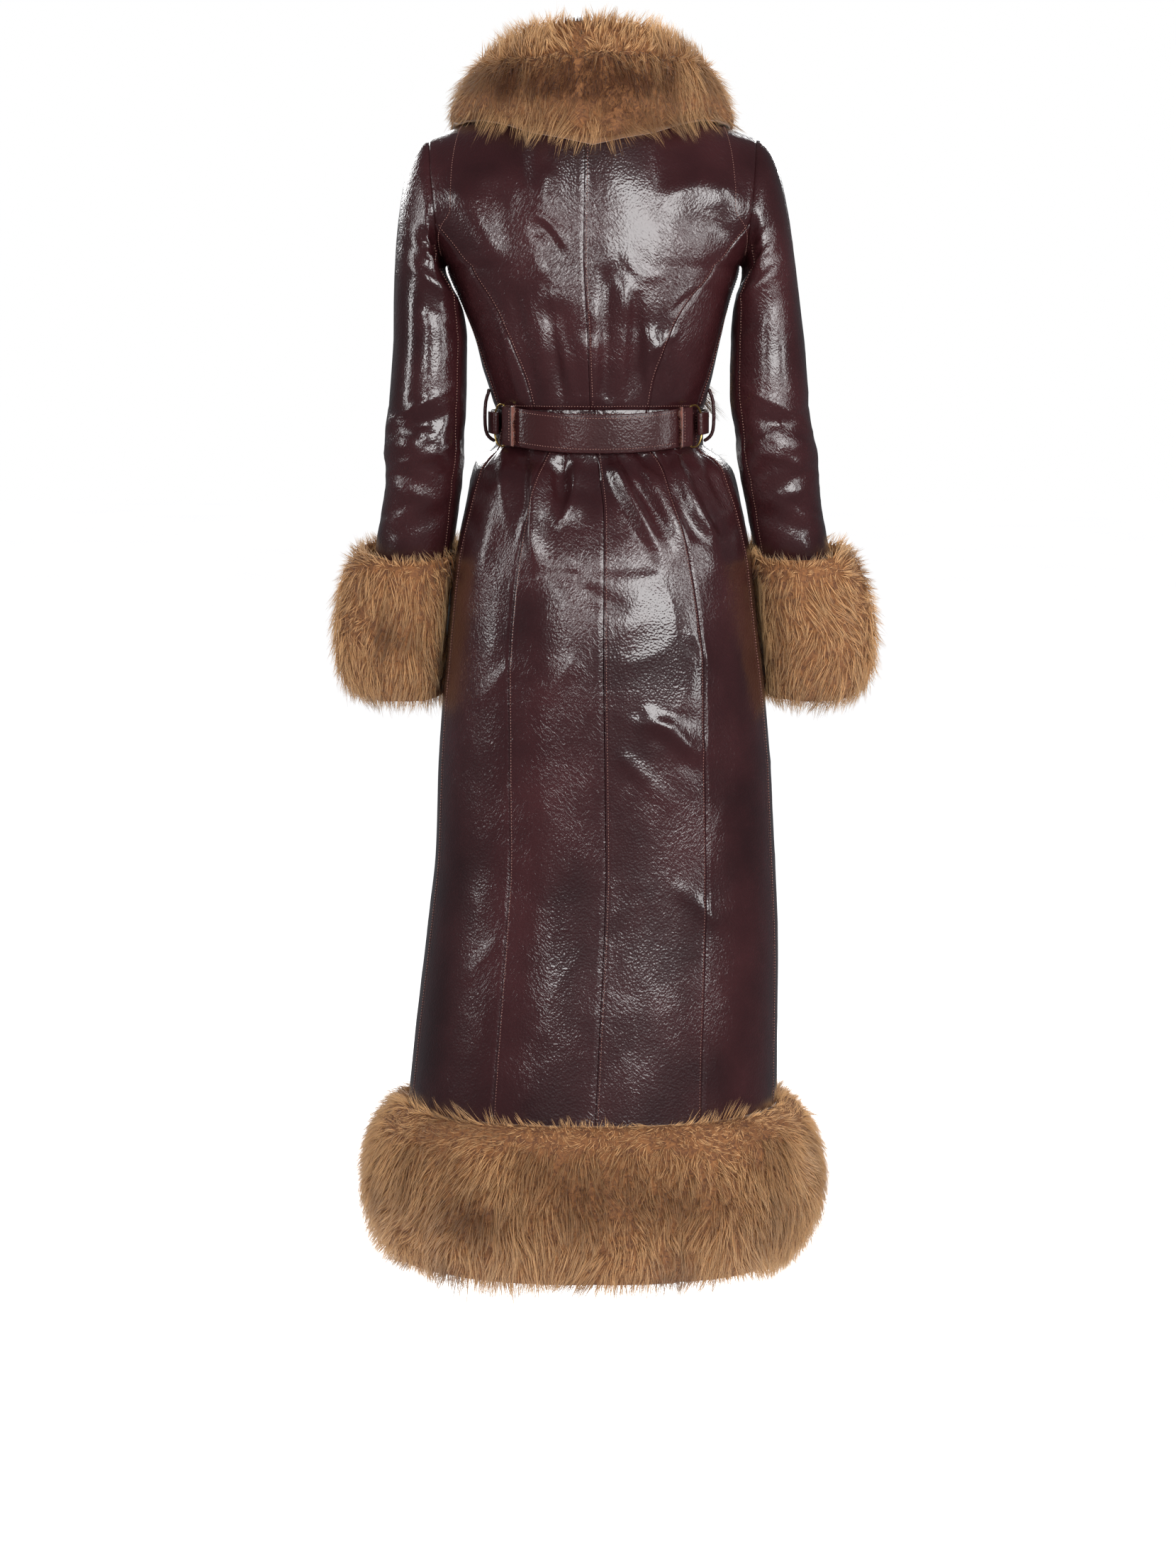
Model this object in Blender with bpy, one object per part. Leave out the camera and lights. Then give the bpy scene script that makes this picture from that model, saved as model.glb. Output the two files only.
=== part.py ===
"""A long glossy leather coat with fur collar, cuffs and hem, belted at the back, hollow as it is worn.

The front faces -Y and the back +Y. +X is the coat's own left side. The origin is the middle of the
neck base, level with the neck ends of the shoulder seams. Every length is in metres.
"""

import math
from collections import namedtuple

import bmesh
import bpy
import numpy as np

# Driving sizes
LEATHER = 0.002
SEAM_GAP = 0.0003
ARMHOLE_GAP = 0.0007
ARMPIT_Z = -0.180
WAIST_Z = -0.335
HEM_Z = -1.100
HEM_RING_Z = -1.105
SHOULDER_HALF = 0.179
SHOULDER_SLOPE = 0.404
SHOULDER_X = 0.003
SHOULDER_Y = -0.005
NECK_HALF = 0.075
NECK_DEPTH = 0.060
NECK_RISE = 0.010
ARMHOLE_SHARE = 0.62
ARMHOLE_START = 0.33
ROUNDNESS = 2.3
OVERLAP_RISE = 0.0050
SLEEVE_RING_Z = -0.260
SLEEVE_END_Z = -0.512
BELT_HEIGHT = 0.042
STRAP_HEIGHT = 0.024
BELT_Z = -0.3480
BELT_SAG = 0.0125
BELT_MIDDLE_X = -0.0045
BELT_HALF_WIDTH = 0.1175
BELT_BACK = 0.0985
BELT_FRONT = 0.1065
BELT_LEATHER = 0.002
WIRE = 0.0013
WIRE_GAP = 0.0006
RING_DEPTH = 0.024
RING_ANGLE = {1: 55.5, -1: -51.5}
RING_DROP = 0.0030
BACK_TAIL = 0.014
STRAP_TAIL = 0.016
FRONT_TAIL = {1: 0.030, -1: 0.055}
FRONT_RING_LENGTH = 0.030
FRONT_RING_CORNER = 0.004
FRONT_RING_SPARE = 0.008
BACK_CLEAR_ANGLE = 5.0
STRAP_CLEAR_ANGLE = 6.0
KEEPER_PLACE = 0.036
KEEPER_WIDTH = 0.010
KEEPER_THICKNESS = 0.0012
KEEPER_GAP = 0.0004
LOOP_WIDTH = 0.009
LOOP_THICKNESS = 0.0016
LOOP_STANDOFF = 0.0010
LOOP_Y = 0.004
BACK_SEAM_ANGLE = 36
SLEEVE_GAP_ANGLE = 0.22
SLEEVE_STEP_ANGLE = 18
BODICE_MIDDLE_Z = -0.25
SIDE_TOP = 0.20
SEAM_TOP = 0.24
BACK_EDGE = 89.98
PANEL_COLUMNS = {
    "bodice_back_centre": 8,
    "bodice_back_side": 4,
    "bodice_front": 11,
    "skirt_back_centre": 8,
    "skirt_back_side": 5,
    "skirt_front": 12,
}

# The body's rings: half width, half depths behind and in front, and the middle's sway
BodyRow = namedtuple("BodyRow", "z half_width back front middle_x")
BODY = (
    BodyRow(-0.160, 0.161, 0.112, 0.112, 0.0030),
    BodyRow(-0.180, 0.160, 0.112, 0.112, 0.0020),
    BodyRow(-0.215, 0.148, 0.112, 0.114, 0.0000),
    BodyRow(-0.260, 0.1340, 0.108, 0.113, -0.0025),
    BodyRow(-0.291, 0.1265, 0.101, 0.107, -0.0035),
    BodyRow(-0.322, 0.1180, 0.094, 0.101, -0.0042),
    BodyRow(-0.340, 0.1135, 0.091, 0.098, -0.0045),
    BodyRow(-0.374, 0.1140, 0.092, 0.099, -0.0050),
    BodyRow(-0.388, 0.1310, 0.096, 0.104, -0.0068),
    BodyRow(-0.400, 0.1400, 0.107, 0.109, -0.0075),
    BodyRow(-0.417, 0.1450, 0.119, 0.112, -0.0079),
    BodyRow(-0.448, 0.1530, 0.133, 0.117, -0.0090),
    BodyRow(-0.500, 0.1630, 0.146, 0.120, -0.0090),
    BodyRow(-0.583, 0.1715, 0.151, 0.124, -0.0085),
    BodyRow(-0.730, 0.1840, 0.153, 0.137, -0.0102),
    BodyRow(-0.825, 0.1880, 0.158, 0.147, -0.0110),
    BodyRow(-0.888, 0.1930, 0.164, 0.154, -0.0090),
    BodyRow(-1.014, 0.2010, 0.181, 0.170, -0.0020),
    BodyRow(-1.110, 0.2060, 0.193, 0.182, 0.0030),
)

# The back's seams as shares of the half width. Height is metres below the armpit, or the share of
# the way up from the armpit to the shoulder.
BodiceSeams = namedtuple("BodiceSeams", "height centre left right side_angle")
BODICE_SEAMS = (
    BodiceSeams(-0.172, 0.089, 0.620, -0.465, 66.0),
    BodiceSeams(-0.127, 0.086, 0.645, -0.480, 70.0),
    BodiceSeams(-0.091, 0.082, 0.690, -0.540, 75.0),
    BodiceSeams(-0.051, 0.078, 0.740, -0.640, 82.0),
    BodiceSeams(-0.015, 0.070, 0.805, -0.780, 88.5),
    BodiceSeams(0.000, 0.068, 0.825, -0.820, 90.0),
    BodiceSeams(0.100, 0.062, 0.905, -0.905, 90.0),
    BodiceSeams(0.240, 0.056, 1.000, -1.000, 90.0),
    BodiceSeams(1.000, 0.035, 1.000, -1.000, 90.0),
)
SkirtSeams = namedtuple("SkirtSeams", "z centre left right side_angle")
SKIRT_SEAMS = (
    SkirtSeams(-0.352, 0.055, 0.470, -0.455, 64.0),
    SkirtSeams(-0.386, 0.035, 0.476, -0.468, 65.0),
    SkirtSeams(-0.439, 0.000, 0.530, -0.510, 68.0),
    SkirtSeams(-0.500, 0.000, 0.570, -0.575, 71.0),
    SkirtSeams(-0.604, 0.000, 0.586, -0.612, 73.0),
    SkirtSeams(-0.700, 0.000, 0.567, -0.585, 74.0),
    SkirtSeams(-1.046, -0.010, 0.535, -0.569, 74.0),
    SkirtSeams(-1.110, -0.012, 0.532, -0.569, 74.0),
)

# The front edges: the left front lies over the right one
FrontEdges = namedtuple("FrontEdges", "height over under")
FRONT_EDGES = (
    FrontEdges(-0.930, -0.480, 0.240),
    FrontEdges(-0.320, -0.560, 0.300),
    FrontEdges(-0.200, -0.720, 0.380),
    FrontEdges(-0.172, -0.760, 0.420),
    FrontEdges(-0.080, -0.430, 0.300),
    FrontEdges(0.000, -0.060, 0.060),
    FrontEdges(0.500, 0.200, -0.200),
    FrontEdges(1.000, 0.430, -0.430),
)

# Folds of the back: soft ridges (height above zero) and troughs that run from top to foot
Fold = namedtuple("Fold", "top_share top_z foot_share foot_z half_width height")
BACK_FOLDS = (
    Fold(0.30, -0.210, 0.36, -0.348, 0.014, -0.0045),
    Fold(0.42, -0.230, 0.45, -0.348, 0.010, 0.0035),
    Fold(-0.26, -0.220, -0.30, -0.348, 0.013, -0.0050),
    Fold(-0.42, -0.240, -0.40, -0.348, 0.010, 0.0030),
    Fold(0.06, -0.250, 0.10, -0.348, 0.016, 0.0040),
    Fold(0.52, -0.385, 0.46, -0.520, 0.010, 0.0060),
    Fold(0.35, -0.385, 0.28, -0.440, 0.012, -0.0065),
    Fold(0.22, -0.385, 0.20, -0.460, 0.010, 0.0050),
    Fold(-0.06, -0.385, -0.38, -0.500, 0.010, 0.0060),
    Fold(-0.20, -0.385, -0.45, -0.470, 0.009, -0.0055),
    Fold(-0.34, -0.385, -0.58, -0.500, 0.010, 0.0060),
    Fold(-0.56, -0.385, -0.80, -0.540, 0.013, 0.0050),
    Fold(0.74, -0.385, 0.86, -0.560, 0.013, 0.0050),
    Fold(0.30, -0.500, -0.10, -0.560, 0.020, -0.0035),
    Fold(-0.30, -0.660, -0.55, -0.720, 0.022, 0.0040),
)
FRONT_FOLDS = (
    Fold(0.55, -0.385, 0.62, -0.540, 0.014, 0.0050),
    Fold(0.30, -0.385, 0.34, -0.480, 0.016, -0.0035),
    Fold(0.05, -0.385, 0.08, -0.520, 0.016, 0.0035),
    Fold(-0.84, -0.385, -0.90, -0.520, 0.012, 0.0050),
    Fold(0.50, -0.220, 0.46, -0.348, 0.014, -0.0040),
    Fold(-0.92, -0.240, -0.90, -0.348, 0.012, -0.0040),
)

# The sleeves' rings below the shoulder, one table a side
SleeveRow = namedtuple("SleeveRow", "z out_x y half_width half_depth lean")
LEFT_SLEEVE = (
    SleeveRow(-0.260, 0.1811, 0.006, 0.0405, 0.055, 0.00),
    SleeveRow(-0.322, 0.1840, 0.010, 0.0425, 0.052, 0.04),
    SleeveRow(-0.354, 0.1863, 0.010, 0.0438, 0.050, 0.10),
    SleeveRow(-0.385, 0.1885, 0.007, 0.0440, 0.049, 0.16),
    SleeveRow(-0.417, 0.1893, 0.002, 0.0418, 0.047, 0.20),
    SleeveRow(-0.448, 0.1934, -0.005, 0.0424, 0.046, 0.23),
    SleeveRow(-0.480, 0.1985, -0.012, 0.0430, 0.046, 0.25),
    SleeveRow(-0.512, 0.2030, -0.020, 0.0435, 0.046, 0.26),
    SleeveRow(-0.575, 0.2083, -0.034, 0.0435, 0.046, 0.26),
    SleeveRow(-0.670, 0.2120, -0.050, 0.0435, 0.046, 0.26),
)
RIGHT_SLEEVE = (
    SleeveRow(-0.260, 0.1890, 0.006, 0.0405, 0.055, 0.00),
    SleeveRow(-0.322, 0.1908, 0.010, 0.0432, 0.052, 0.04),
    SleeveRow(-0.354, 0.1948, 0.010, 0.0430, 0.050, 0.10),
    SleeveRow(-0.385, 0.2005, 0.007, 0.0445, 0.049, 0.16),
    SleeveRow(-0.417, 0.2040, 0.002, 0.0425, 0.047, 0.20),
    SleeveRow(-0.448, 0.2090, -0.005, 0.0415, 0.046, 0.23),
    SleeveRow(-0.480, 0.2155, -0.012, 0.0415, 0.046, 0.25),
    SleeveRow(-0.512, 0.2225, -0.020, 0.0425, 0.046, 0.26),
    SleeveRow(-0.575, 0.2319, -0.034, 0.0430, 0.046, 0.26),
    SleeveRow(-0.670, 0.2360, -0.050, 0.0430, 0.046, 0.26),
)
SLEEVE_FLARE = {1: 0.02, -1: 0.13}

# Sleeve folds: troughs and ridges across the arm. The angle runs from the inner side over the back.
SleeveFold = namedtuple("SleeveFold", "z angle rise spread half_height height")
SLEEVE_FOLDS = (
    SleeveFold(-0.175, 45.0, 0.020, 40.0, 0.010, -0.0050),
    SleeveFold(-0.205, 60.0, 0.015, 45.0, 0.012, 0.0040),
    SleeveFold(-0.352, 105.0, -0.012, 55.0, 0.009, -0.0040),
    SleeveFold(-0.378, 95.0, 0.010, 60.0, 0.010, 0.0035),
    SleeveFold(-0.408, 120.0, 0.010, 55.0, 0.010, -0.0040),
    SleeveFold(-0.370, 285.0, 0.008, 60.0, 0.012, -0.0050),
    SleeveFold(-0.400, 270.0, -0.010, 60.0, 0.011, 0.0040),
    SleeveFold(-0.455, 80.0, -0.014, 50.0, 0.012, -0.0030),
)

# A cuff's section: reach is the share of the fur's length out from the sleeve
FurRow = namedtuple("FurRow", "reach z")
CUFF_SECTION = (
    FurRow(0.00, -0.5136),
    FurRow(0.14, -0.4960),
    FurRow(0.40, -0.4790),
    FurRow(0.72, -0.4880),
    FurRow(0.93, -0.5230),
    FurRow(1.00, -0.5650),
    FurRow(0.97, -0.6030),
    FurRow(0.80, -0.6350),
    FurRow(0.45, -0.6540),
    FurRow(0.10, -0.6530),
    FurRow(-0.05, -0.6400),
)
CUFF_REACH = {"inner": 0.013, "back": 0.040, "outer": 0.0455, "front": 0.040}
BODY_CLEARANCE = 0.0025

# The hem band's section: reach out from the skirt's own ring
HEM_SECTION = (
    FurRow(0.001, -1.1004),
    FurRow(0.013, -1.0985),
    FurRow(0.031, -1.1080),
    FurRow(0.049, -1.1320),
    FurRow(0.0575, -1.1700),
    FurRow(0.0575, -1.2050),
    FurRow(0.048, -1.2390),
    FurRow(0.027, -1.2690),
    FurRow(0.006, -1.2780),
    FurRow(-0.002, -1.2700),
    FurRow(-0.002, -1.1004),
)

# The shawl collar's stations from the middle of the neck's back down to a front's edge. Inner and
# outer are where its section meets the coat (share of the half width, height up the armhole). The
# rise and bulge pairs are the section's two handles, outwards and upwards.
Station = namedtuple(
    "Station", "front inner inner_height outer outer_height in_out in_up out_out out_up"
)
COLLAR = (
    Station(0, 0.00, 0.999, 0.00, 0.47, 0.000, 0.212, 0.092, 0.030),
    Station(0, 0.21, 0.999, 0.36, 0.56, -0.004, 0.196, 0.078, 0.030),
    Station(0, 0.36, 0.999, 0.66, 0.80, -0.008, 0.165, 0.045, 0.032),
    Station(0, 0.42, 0.999, 0.82, 0.985, -0.010, 0.150, 0.030, 0.035),
    Station(1, 0.38, 0.960, 0.84, 0.80, 0.020, 0.110, 0.050, 0.020),
    Station(1, 0.29, 0.840, 0.80, 0.58, 0.050, 0.050, 0.060, 0.010),
    Station(1, 0.17, 0.640, 0.72, 0.38, 0.062, 0.022, 0.060, 0.000),
    Station(1, 0.07, 0.430, 0.64, 0.20, 0.064, 0.008, 0.060, 0.000),
    Station(1, 0.012, 0.230, 0.57, 0.04, 0.062, 0.000, 0.060, 0.000),
)
# The right front's fur ends in a point under the left one's, which goes on across to the belt
RIGHT_END = (
    Station(1, 0.260, 0.110, 0.560, 0.000, 0.034, 0.000, 0.034, 0.000),
    Station(1, 0.440, 0.035, 0.540, -0.010, 0.010, 0.000, 0.010, 0.000),
)
LAPEL = (
    Station(1, -0.060, 0.060, 0.48, -0.030, 0.060, 0.000, 0.060, 0.000),
    Station(1, -0.300, -0.025, 0.26, -0.062, 0.060, 0.000, 0.060, 0.000),
    Station(1, -0.560, -0.070, -0.02, -0.095, 0.060, 0.000, 0.060, 0.000),
    Station(1, -0.800, -0.110, -0.26, -0.122, 0.058, 0.000, 0.058, 0.000),
    Station(1, -0.950, -0.147, -0.42, -0.148, 0.040, 0.000, 0.045, 0.000),
)
TrimRow = namedtuple("TrimRow", "z edge half_width pile")
FRONT_TRIM = (
    TrimRow(-0.395, -0.093, 0.036, 0.035),
    TrimRow(-0.430, -0.094, 0.044, 0.055),
    TrimRow(-0.560, -0.095, 0.047, 0.060),
    TrimRow(-0.800, -0.097, 0.048, 0.060),
    TrimRow(-1.020, -0.099, 0.048, 0.060),
    TrimRow(-1.086, -0.099, 0.044, 0.050),
)
COLLAR_GAP = 0.0028
TRIM_GAP = 0.0016


def smooth(places, values, place):
    """The value at place on a curve through the points, level where they turn, so it never overshoots."""
    place = min(max(place, places[0]), places[-1])
    i = min(max(np.searchsorted(places, place) - 1, 0), len(places) - 2)
    steps = np.diff(places)
    rises = np.diff(values) / steps

    def slope(j):
        if j == 0 or j == len(places) - 1:
            return rises[min(j, len(rises) - 1)]
        before, after = rises[j - 1], rises[j]
        return 0.0 if before * after <= 0 else 2 * before * after / (before + after)

    t = (place - places[i]) / steps[i]
    ends = values[i] * (1 + 2 * t) * (1 - t) ** 2 + values[i + 1] * t * t * (3 - 2 * t)
    bend = slope(i) * t * (1 - t) ** 2 - slope(i + 1) * t * t * (1 - t)
    return ends + bend * steps[i]


def sorted_columns(table):
    """The table's columns by name, in rising order of the first one."""
    rows = sorted(table)
    return {name: np.array([getattr(row, name) for row in rows]) for name in rows[0]._fields}


COLUMNS = {
    name: sorted_columns(table)
    for name, table in (
        ("body", BODY),
        ("bodice_seams", BODICE_SEAMS),
        ("skirt_seams", SKIRT_SEAMS),
        ("front_edges", FRONT_EDGES),
        ("trim", FRONT_TRIM),
        (1, LEFT_SLEEVE),
        (-1, RIGHT_SLEEVE),
    )
}


def read(table, column, place):
    columns = COLUMNS[table]
    first = next(iter(columns.values()))
    return smooth(first, columns[column], place)


def share_of(angle):
    """How far out an angle of the ring lies, and how deep, each as a share from -1 to 1."""
    turned = math.radians(angle)
    across, along = math.sin(turned), math.cos(turned)
    power = 2 / ROUNDNESS
    return math.copysign(abs(across) ** power, across), math.copysign(abs(along) ** power, along)


def angle_of(share, front=False):
    """The ring angle at a share of the half width, on the back or the front."""
    bent = math.copysign(min(abs(share), 1.0) ** (ROUNDNESS / 2), share)
    angle = math.degrees(math.asin(bent))
    return 180.0 - angle if front else angle


def smoothstep(t):
    t = min(max(t, 0.0), 1.0)
    return t * t * (3 - 2 * t)


def fold_height(x, z, front):
    """The folds' displacement at a place on the body."""
    total = 0.0
    half_width, middle = read("body", "half_width", z), read("body", "middle_x", z)
    for fold in FRONT_FOLDS if front else BACK_FOLDS:
        t = (fold.top_z - z) / (fold.top_z - fold.foot_z)
        if not 0 < t < 1:
            continue
        share = fold.top_share + (fold.foot_share - fold.top_share) * t
        aside = (x - middle - share * half_width) / fold.half_width
        fade = smoothstep(t / 0.2) * smoothstep((1 - t) / 0.45)
        total += fold.height * fade * math.exp(-aside * aside)
    return total


def ring_point(angle, z):
    """A point of the body's ring at height z, without folds."""
    across, along = share_of(angle)
    depth = read("body", "back" if along > 0 else "front", z)
    return np.array(
        (
            read("body", "middle_x", z) + across * read("body", "half_width", z),
            along * depth,
            z,
        )
    )


def yoke_point(angle, height):
    """A point above the armpit: a quarter arch from the armpit's ring to the shoulder and neck."""
    across, along = share_of(angle)
    facing = 1.0 if along > 0 else -1.0
    lift, spread = math.sin(height * math.pi / 2), math.cos(height * math.pi / 2)
    low = ring_point(angle, ARMPIT_Z)
    top_x = SHOULDER_X + SHOULDER_HALF * across
    out = abs(SHOULDER_HALF * across)
    top_y = SHOULDER_Y
    if out < NECK_HALF:
        round_neck = 1 - (out / NECK_HALF) ** 2
        top_y += facing * (NECK_DEPTH + facing * -SHOULDER_Y) * math.sqrt(round_neck)
        top_z = NECK_RISE * round_neck * (1.0 if facing > 0 else -2.0)
    else:
        top_z = -SHOULDER_SLOPE * (out - NECK_HALF)
    depth = read("body", "back" if facing > 0 else "front", ARMPIT_Z)
    flat = abs(along) ** (1 + min(1.0, 4 * height))
    opened = math.sin(min(height / ARMHOLE_START, 1.0) * math.pi / 2) ** 0.8
    armhole = ARMHOLE_SHARE * opened * (1 - flat)
    y = facing * spread * depth * (flat + armhole) + (1 - spread) * top_y
    x = low[0] + (top_x - low[0]) * math.sqrt(max(lift, 0.0))
    return np.array((x, y, ARMPIT_Z + (top_z - ARMPIT_Z) * lift))


def bare_body(angle, height):
    return ring_point(angle, ARMPIT_Z + height) if height <= 0 else yoke_point(angle, height)


def normal_of(surface, u, v, du, dv):
    """The unit normal of a surface by its slopes either way."""
    along_u = surface(u + du, v) - surface(u - du, v)
    along_v = surface(u, v + dv) - surface(u, v - dv)
    normal = np.cross(along_u, along_v)
    return normal / max(np.linalg.norm(normal), 1e-12)


def body_normal(angle, height):
    """The outward normal. Near the armhole's edge it is read just inside the edge."""
    quarter = 90.0 * round(angle / 90.0)
    if height > 0 and round(angle / 90.0) % 2 and abs(angle - quarter) < 1.5:
        angle = quarter + (1.5 if angle >= quarter else -1.5)
    height = min(max(height, 0.012), 0.985) if height > 0 else height
    step = 0.006 if height > 0 else 0.0015
    normal = normal_of(bare_body, angle, height, 0.5, step)
    outward = np.array((math.sin(math.radians(angle)), math.cos(math.radians(angle)), 0.0))
    outward[2] = max(height, 0.0)
    return normal if normal @ outward > 0 else -normal


def body_point(angle, height, out=0.0):
    """A point of the coat's outer surface, folds and all, moved out by a distance."""
    point = bare_body(angle, height)
    front = 90 < angle % 360 < 270
    return point + body_normal(angle, height) * (out + fold_height(point[0], point[2], front))


def add_object(name, points, faces, material, crease=40):
    """One closed body from points and faces, its faces turned out."""
    mesh = bpy.data.meshes.new(name)
    mesh.from_pydata([tuple(map(float, point)) for point in points], [], faces)
    shape = bmesh.new()
    shape.from_mesh(mesh)
    bmesh.ops.recalc_face_normals(shape, faces=shape.faces[:])
    shape.to_mesh(mesh)
    shape.free()
    mesh.shade_smooth()
    mesh.set_sharp_from_angle(angle=math.radians(crease))
    mesh.materials.append(material)
    made = bpy.data.objects.new(name, mesh)
    bpy.context.scene.collection.objects.link(made)
    return made


def grid_faces(rows, columns, start=0, around_rows=False, around_columns=False):
    """Quads of a grid of points, row by row."""
    faces = []
    for r in range(rows if around_rows else rows - 1):
        below = (r + 1) % rows
        for c in range(columns if around_columns else columns - 1):
            aside = (c + 1) % columns
            corners = (r * columns + c, r * columns + aside)
            corners += (below * columns + aside, below * columns + c)
            faces.append(tuple(start + corner for corner in corners))
    return faces


def add_wall(name, outer, inner, material):
    """A wall between two grids of points that open at all four edges."""
    rows, columns = len(outer), len(outer[0])
    points = [p for row in outer for p in row] + [p for row in inner for p in row]
    faces = grid_faces(rows, columns) + grid_faces(rows, columns, rows * columns)
    edge = [(0, c) for c in range(columns)] + [(r, columns - 1) for r in range(1, rows)]
    edge += [(rows - 1, c) for c in range(columns - 2, -1, -1)] + [(r, 0) for r in range(rows - 2, 0, -1)]
    for here, there in zip(edge, edge[1:] + edge[:1]):
        a, b = (r * columns + c for r, c in (here, there))
        faces.append((a, b, b + rows * columns, a + rows * columns))
    return add_object(name, points, faces, material)


def add_swept(name, rings, material, closed=False, crease=40):
    """A body swept through equal rings of points, with end caps unless the path is closed."""
    rows, columns = len(rings), len(rings[0])
    points = [p for ring in rings for p in ring]
    faces = grid_faces(rows, columns, around_rows=closed, around_columns=True)
    if not closed:
        faces.append(tuple(range(columns)))
        faces.append(tuple((rows - 1) * columns + c for c in range(columns)))
    return add_object(name, points, faces, material, crease)


def overlap_rise(angle, height):
    """How far the over front stands off, easing in from the side to where the under front lies."""
    share, along = share_of(angle)
    if along >= 0:
        return 0.0
    fade = 1.0 - smoothstep((height - 0.35) / 0.4)
    return OVERLAP_RISE * smoothstep((0.80 - share) / 0.25) * fade


def add_panel(kind, side_name, heights, edges, material, rise=None):
    """A leather panel between two seam angles that may change with height."""
    columns = PANEL_COLUMNS[kind]
    outer, inner = [], []
    for height in heights:
        first, last = edges(height)
        outer_row, inner_row = [], []
        for angle in np.linspace(first, last, columns + 1):
            out = rise(angle, height) if rise else 0.0
            outer_row.append(body_point(angle, height, out))
            inner_row.append(body_point(angle, height, out - LEATHER))
        outer.append(outer_row)
        inner.append(inner_row)
    return add_wall(f"{kind}_{side_name}", outer, inner, material)


def seam_gap_angle(z):
    """Half a seam's gap as an angle of the ring."""
    return math.degrees(SEAM_GAP * 0.6 / read("body", "half_width", z))


BODICE_LOW = [WAIST_Z + SEAM_GAP / 2, -0.322, -0.305, -0.288, -0.270, -0.250, -0.228, -0.205]
BODICE_HEIGHTS = [z - ARMPIT_Z for z in BODICE_LOW]
YOKE_HEIGHTS = [0.0, 0.04, 0.10, 0.18, 0.28, 0.40, 0.52, 0.64, 0.76, 0.88, 0.9988]


def add_bodice(leather):
    half_gap = seam_gap_angle(BODICE_MIDDLE_Z)

    def seam(column, height):
        return angle_of(read("bodice_seams", column, height))

    for name, side in (("left", 1), ("right", -1)):

        def centre_edges(height, side=side, name=name):
            edge = side * BACK_EDGE if height >= SEAM_TOP else seam(name, height) - side * half_gap
            return seam("centre", height) + side * half_gap, edge

        def side_edges(height, side=side, name=name):
            edge = min(read("bodice_seams", "side_angle", height) - half_gap, BACK_EDGE)
            return seam(name, height) + side * half_gap, side * edge

        heights = BODICE_HEIGHTS + YOKE_HEIGHTS[:4] + [SEAM_TOP] + YOKE_HEIGHTS[4:]
        add_panel("bodice_back_centre", name, heights, centre_edges, leather)
        heights = BODICE_HEIGHTS + YOKE_HEIGHTS[:4] + [SIDE_TOP]
        add_panel("bodice_back_side", name, heights, side_edges, leather)

        def front_edges(height, side=side):
            start = read("bodice_seams", "side_angle", height) + half_gap if height < 0 else 180 - BACK_EDGE
            edge = read("front_edges", "over" if side > 0 else "under", height)
            return side * start, side * (180 - side * angle_of(edge))

        heights = BODICE_HEIGHTS + YOKE_HEIGHTS
        rise = overlap_rise if side > 0 else None
        add_panel("bodice_front", name, heights, front_edges, leather, rise)


SKIRT_LEVELS = (
    [WAIST_Z - SEAM_GAP / 2, -0.354, -0.374, -0.388, -0.402, -0.420, -0.442, -0.470, -0.505, -0.550]
    + [-0.600, -0.650, -0.705, -0.765, -0.825, -0.890, -0.960, -1.030, HEM_Z + SEAM_GAP / 2]
)


def add_skirt(leather):
    def seam(column, height):
        return angle_of(read("skirt_seams", column, height + ARMPIT_Z))

    heights = [z - ARMPIT_Z for z in SKIRT_LEVELS]
    for name, side in (("left", 1), ("right", -1)):

        def centre_edges(height, side=side, name=name):
            gap = side * seam_gap_angle(height + ARMPIT_Z)
            return seam("centre", height) + gap, seam(name, height) - gap

        def side_edges(height, side=side, name=name):
            gap = seam_gap_angle(height + ARMPIT_Z)
            edge = read("skirt_seams", "side_angle", height + ARMPIT_Z) - gap
            return seam(name, height) + side * gap, side * edge

        def front_edges(height, side=side):
            gap = seam_gap_angle(height + ARMPIT_Z)
            start = read("skirt_seams", "side_angle", height + ARMPIT_Z) + gap
            edge = read("front_edges", "over" if side > 0 else "under", height)
            return side * start, side * (180 - side * angle_of(edge))

        add_panel("skirt_back_centre", name, heights, centre_edges, leather)
        add_panel("skirt_back_side", name, heights, side_edges, leather)
        rise = overlap_rise if side > 0 else None
        add_panel("skirt_front", name, heights, front_edges, leather, rise)


def sleeve_ring(side, angle, z):
    """A point of the sleeve's ring. The angle runs from the inner side over the back."""
    turned = math.radians(angle)
    x = read(side, "out_x", z) - math.cos(turned) * read(side, "half_width", z)
    back = math.sin(turned) * read(side, "half_depth", z)
    return np.array((side * x, read(side, "y", z) + back, z - read(side, "lean", z) * back))


def armhole_point(side, angle):
    """A point of the armhole's edge. The angle runs from the underarm over the back to the shoulder."""
    height = arm_share(angle)
    back = math.sin(math.radians(angle)) >= 0
    return yoke_point(side * (BACK_EDGE if back else 180 - BACK_EDGE), height)


def arm_share(angle):
    """The share of the armhole's height at a sleeve angle, matched to the yoke's rows."""
    turned = abs((angle + 180) % 360 - 180)
    heights = YOKE_HEIGHTS[:-1] + [1.0]
    return float(np.interp(turned / 180 * (len(heights) - 1), range(len(heights)), heights))


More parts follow.
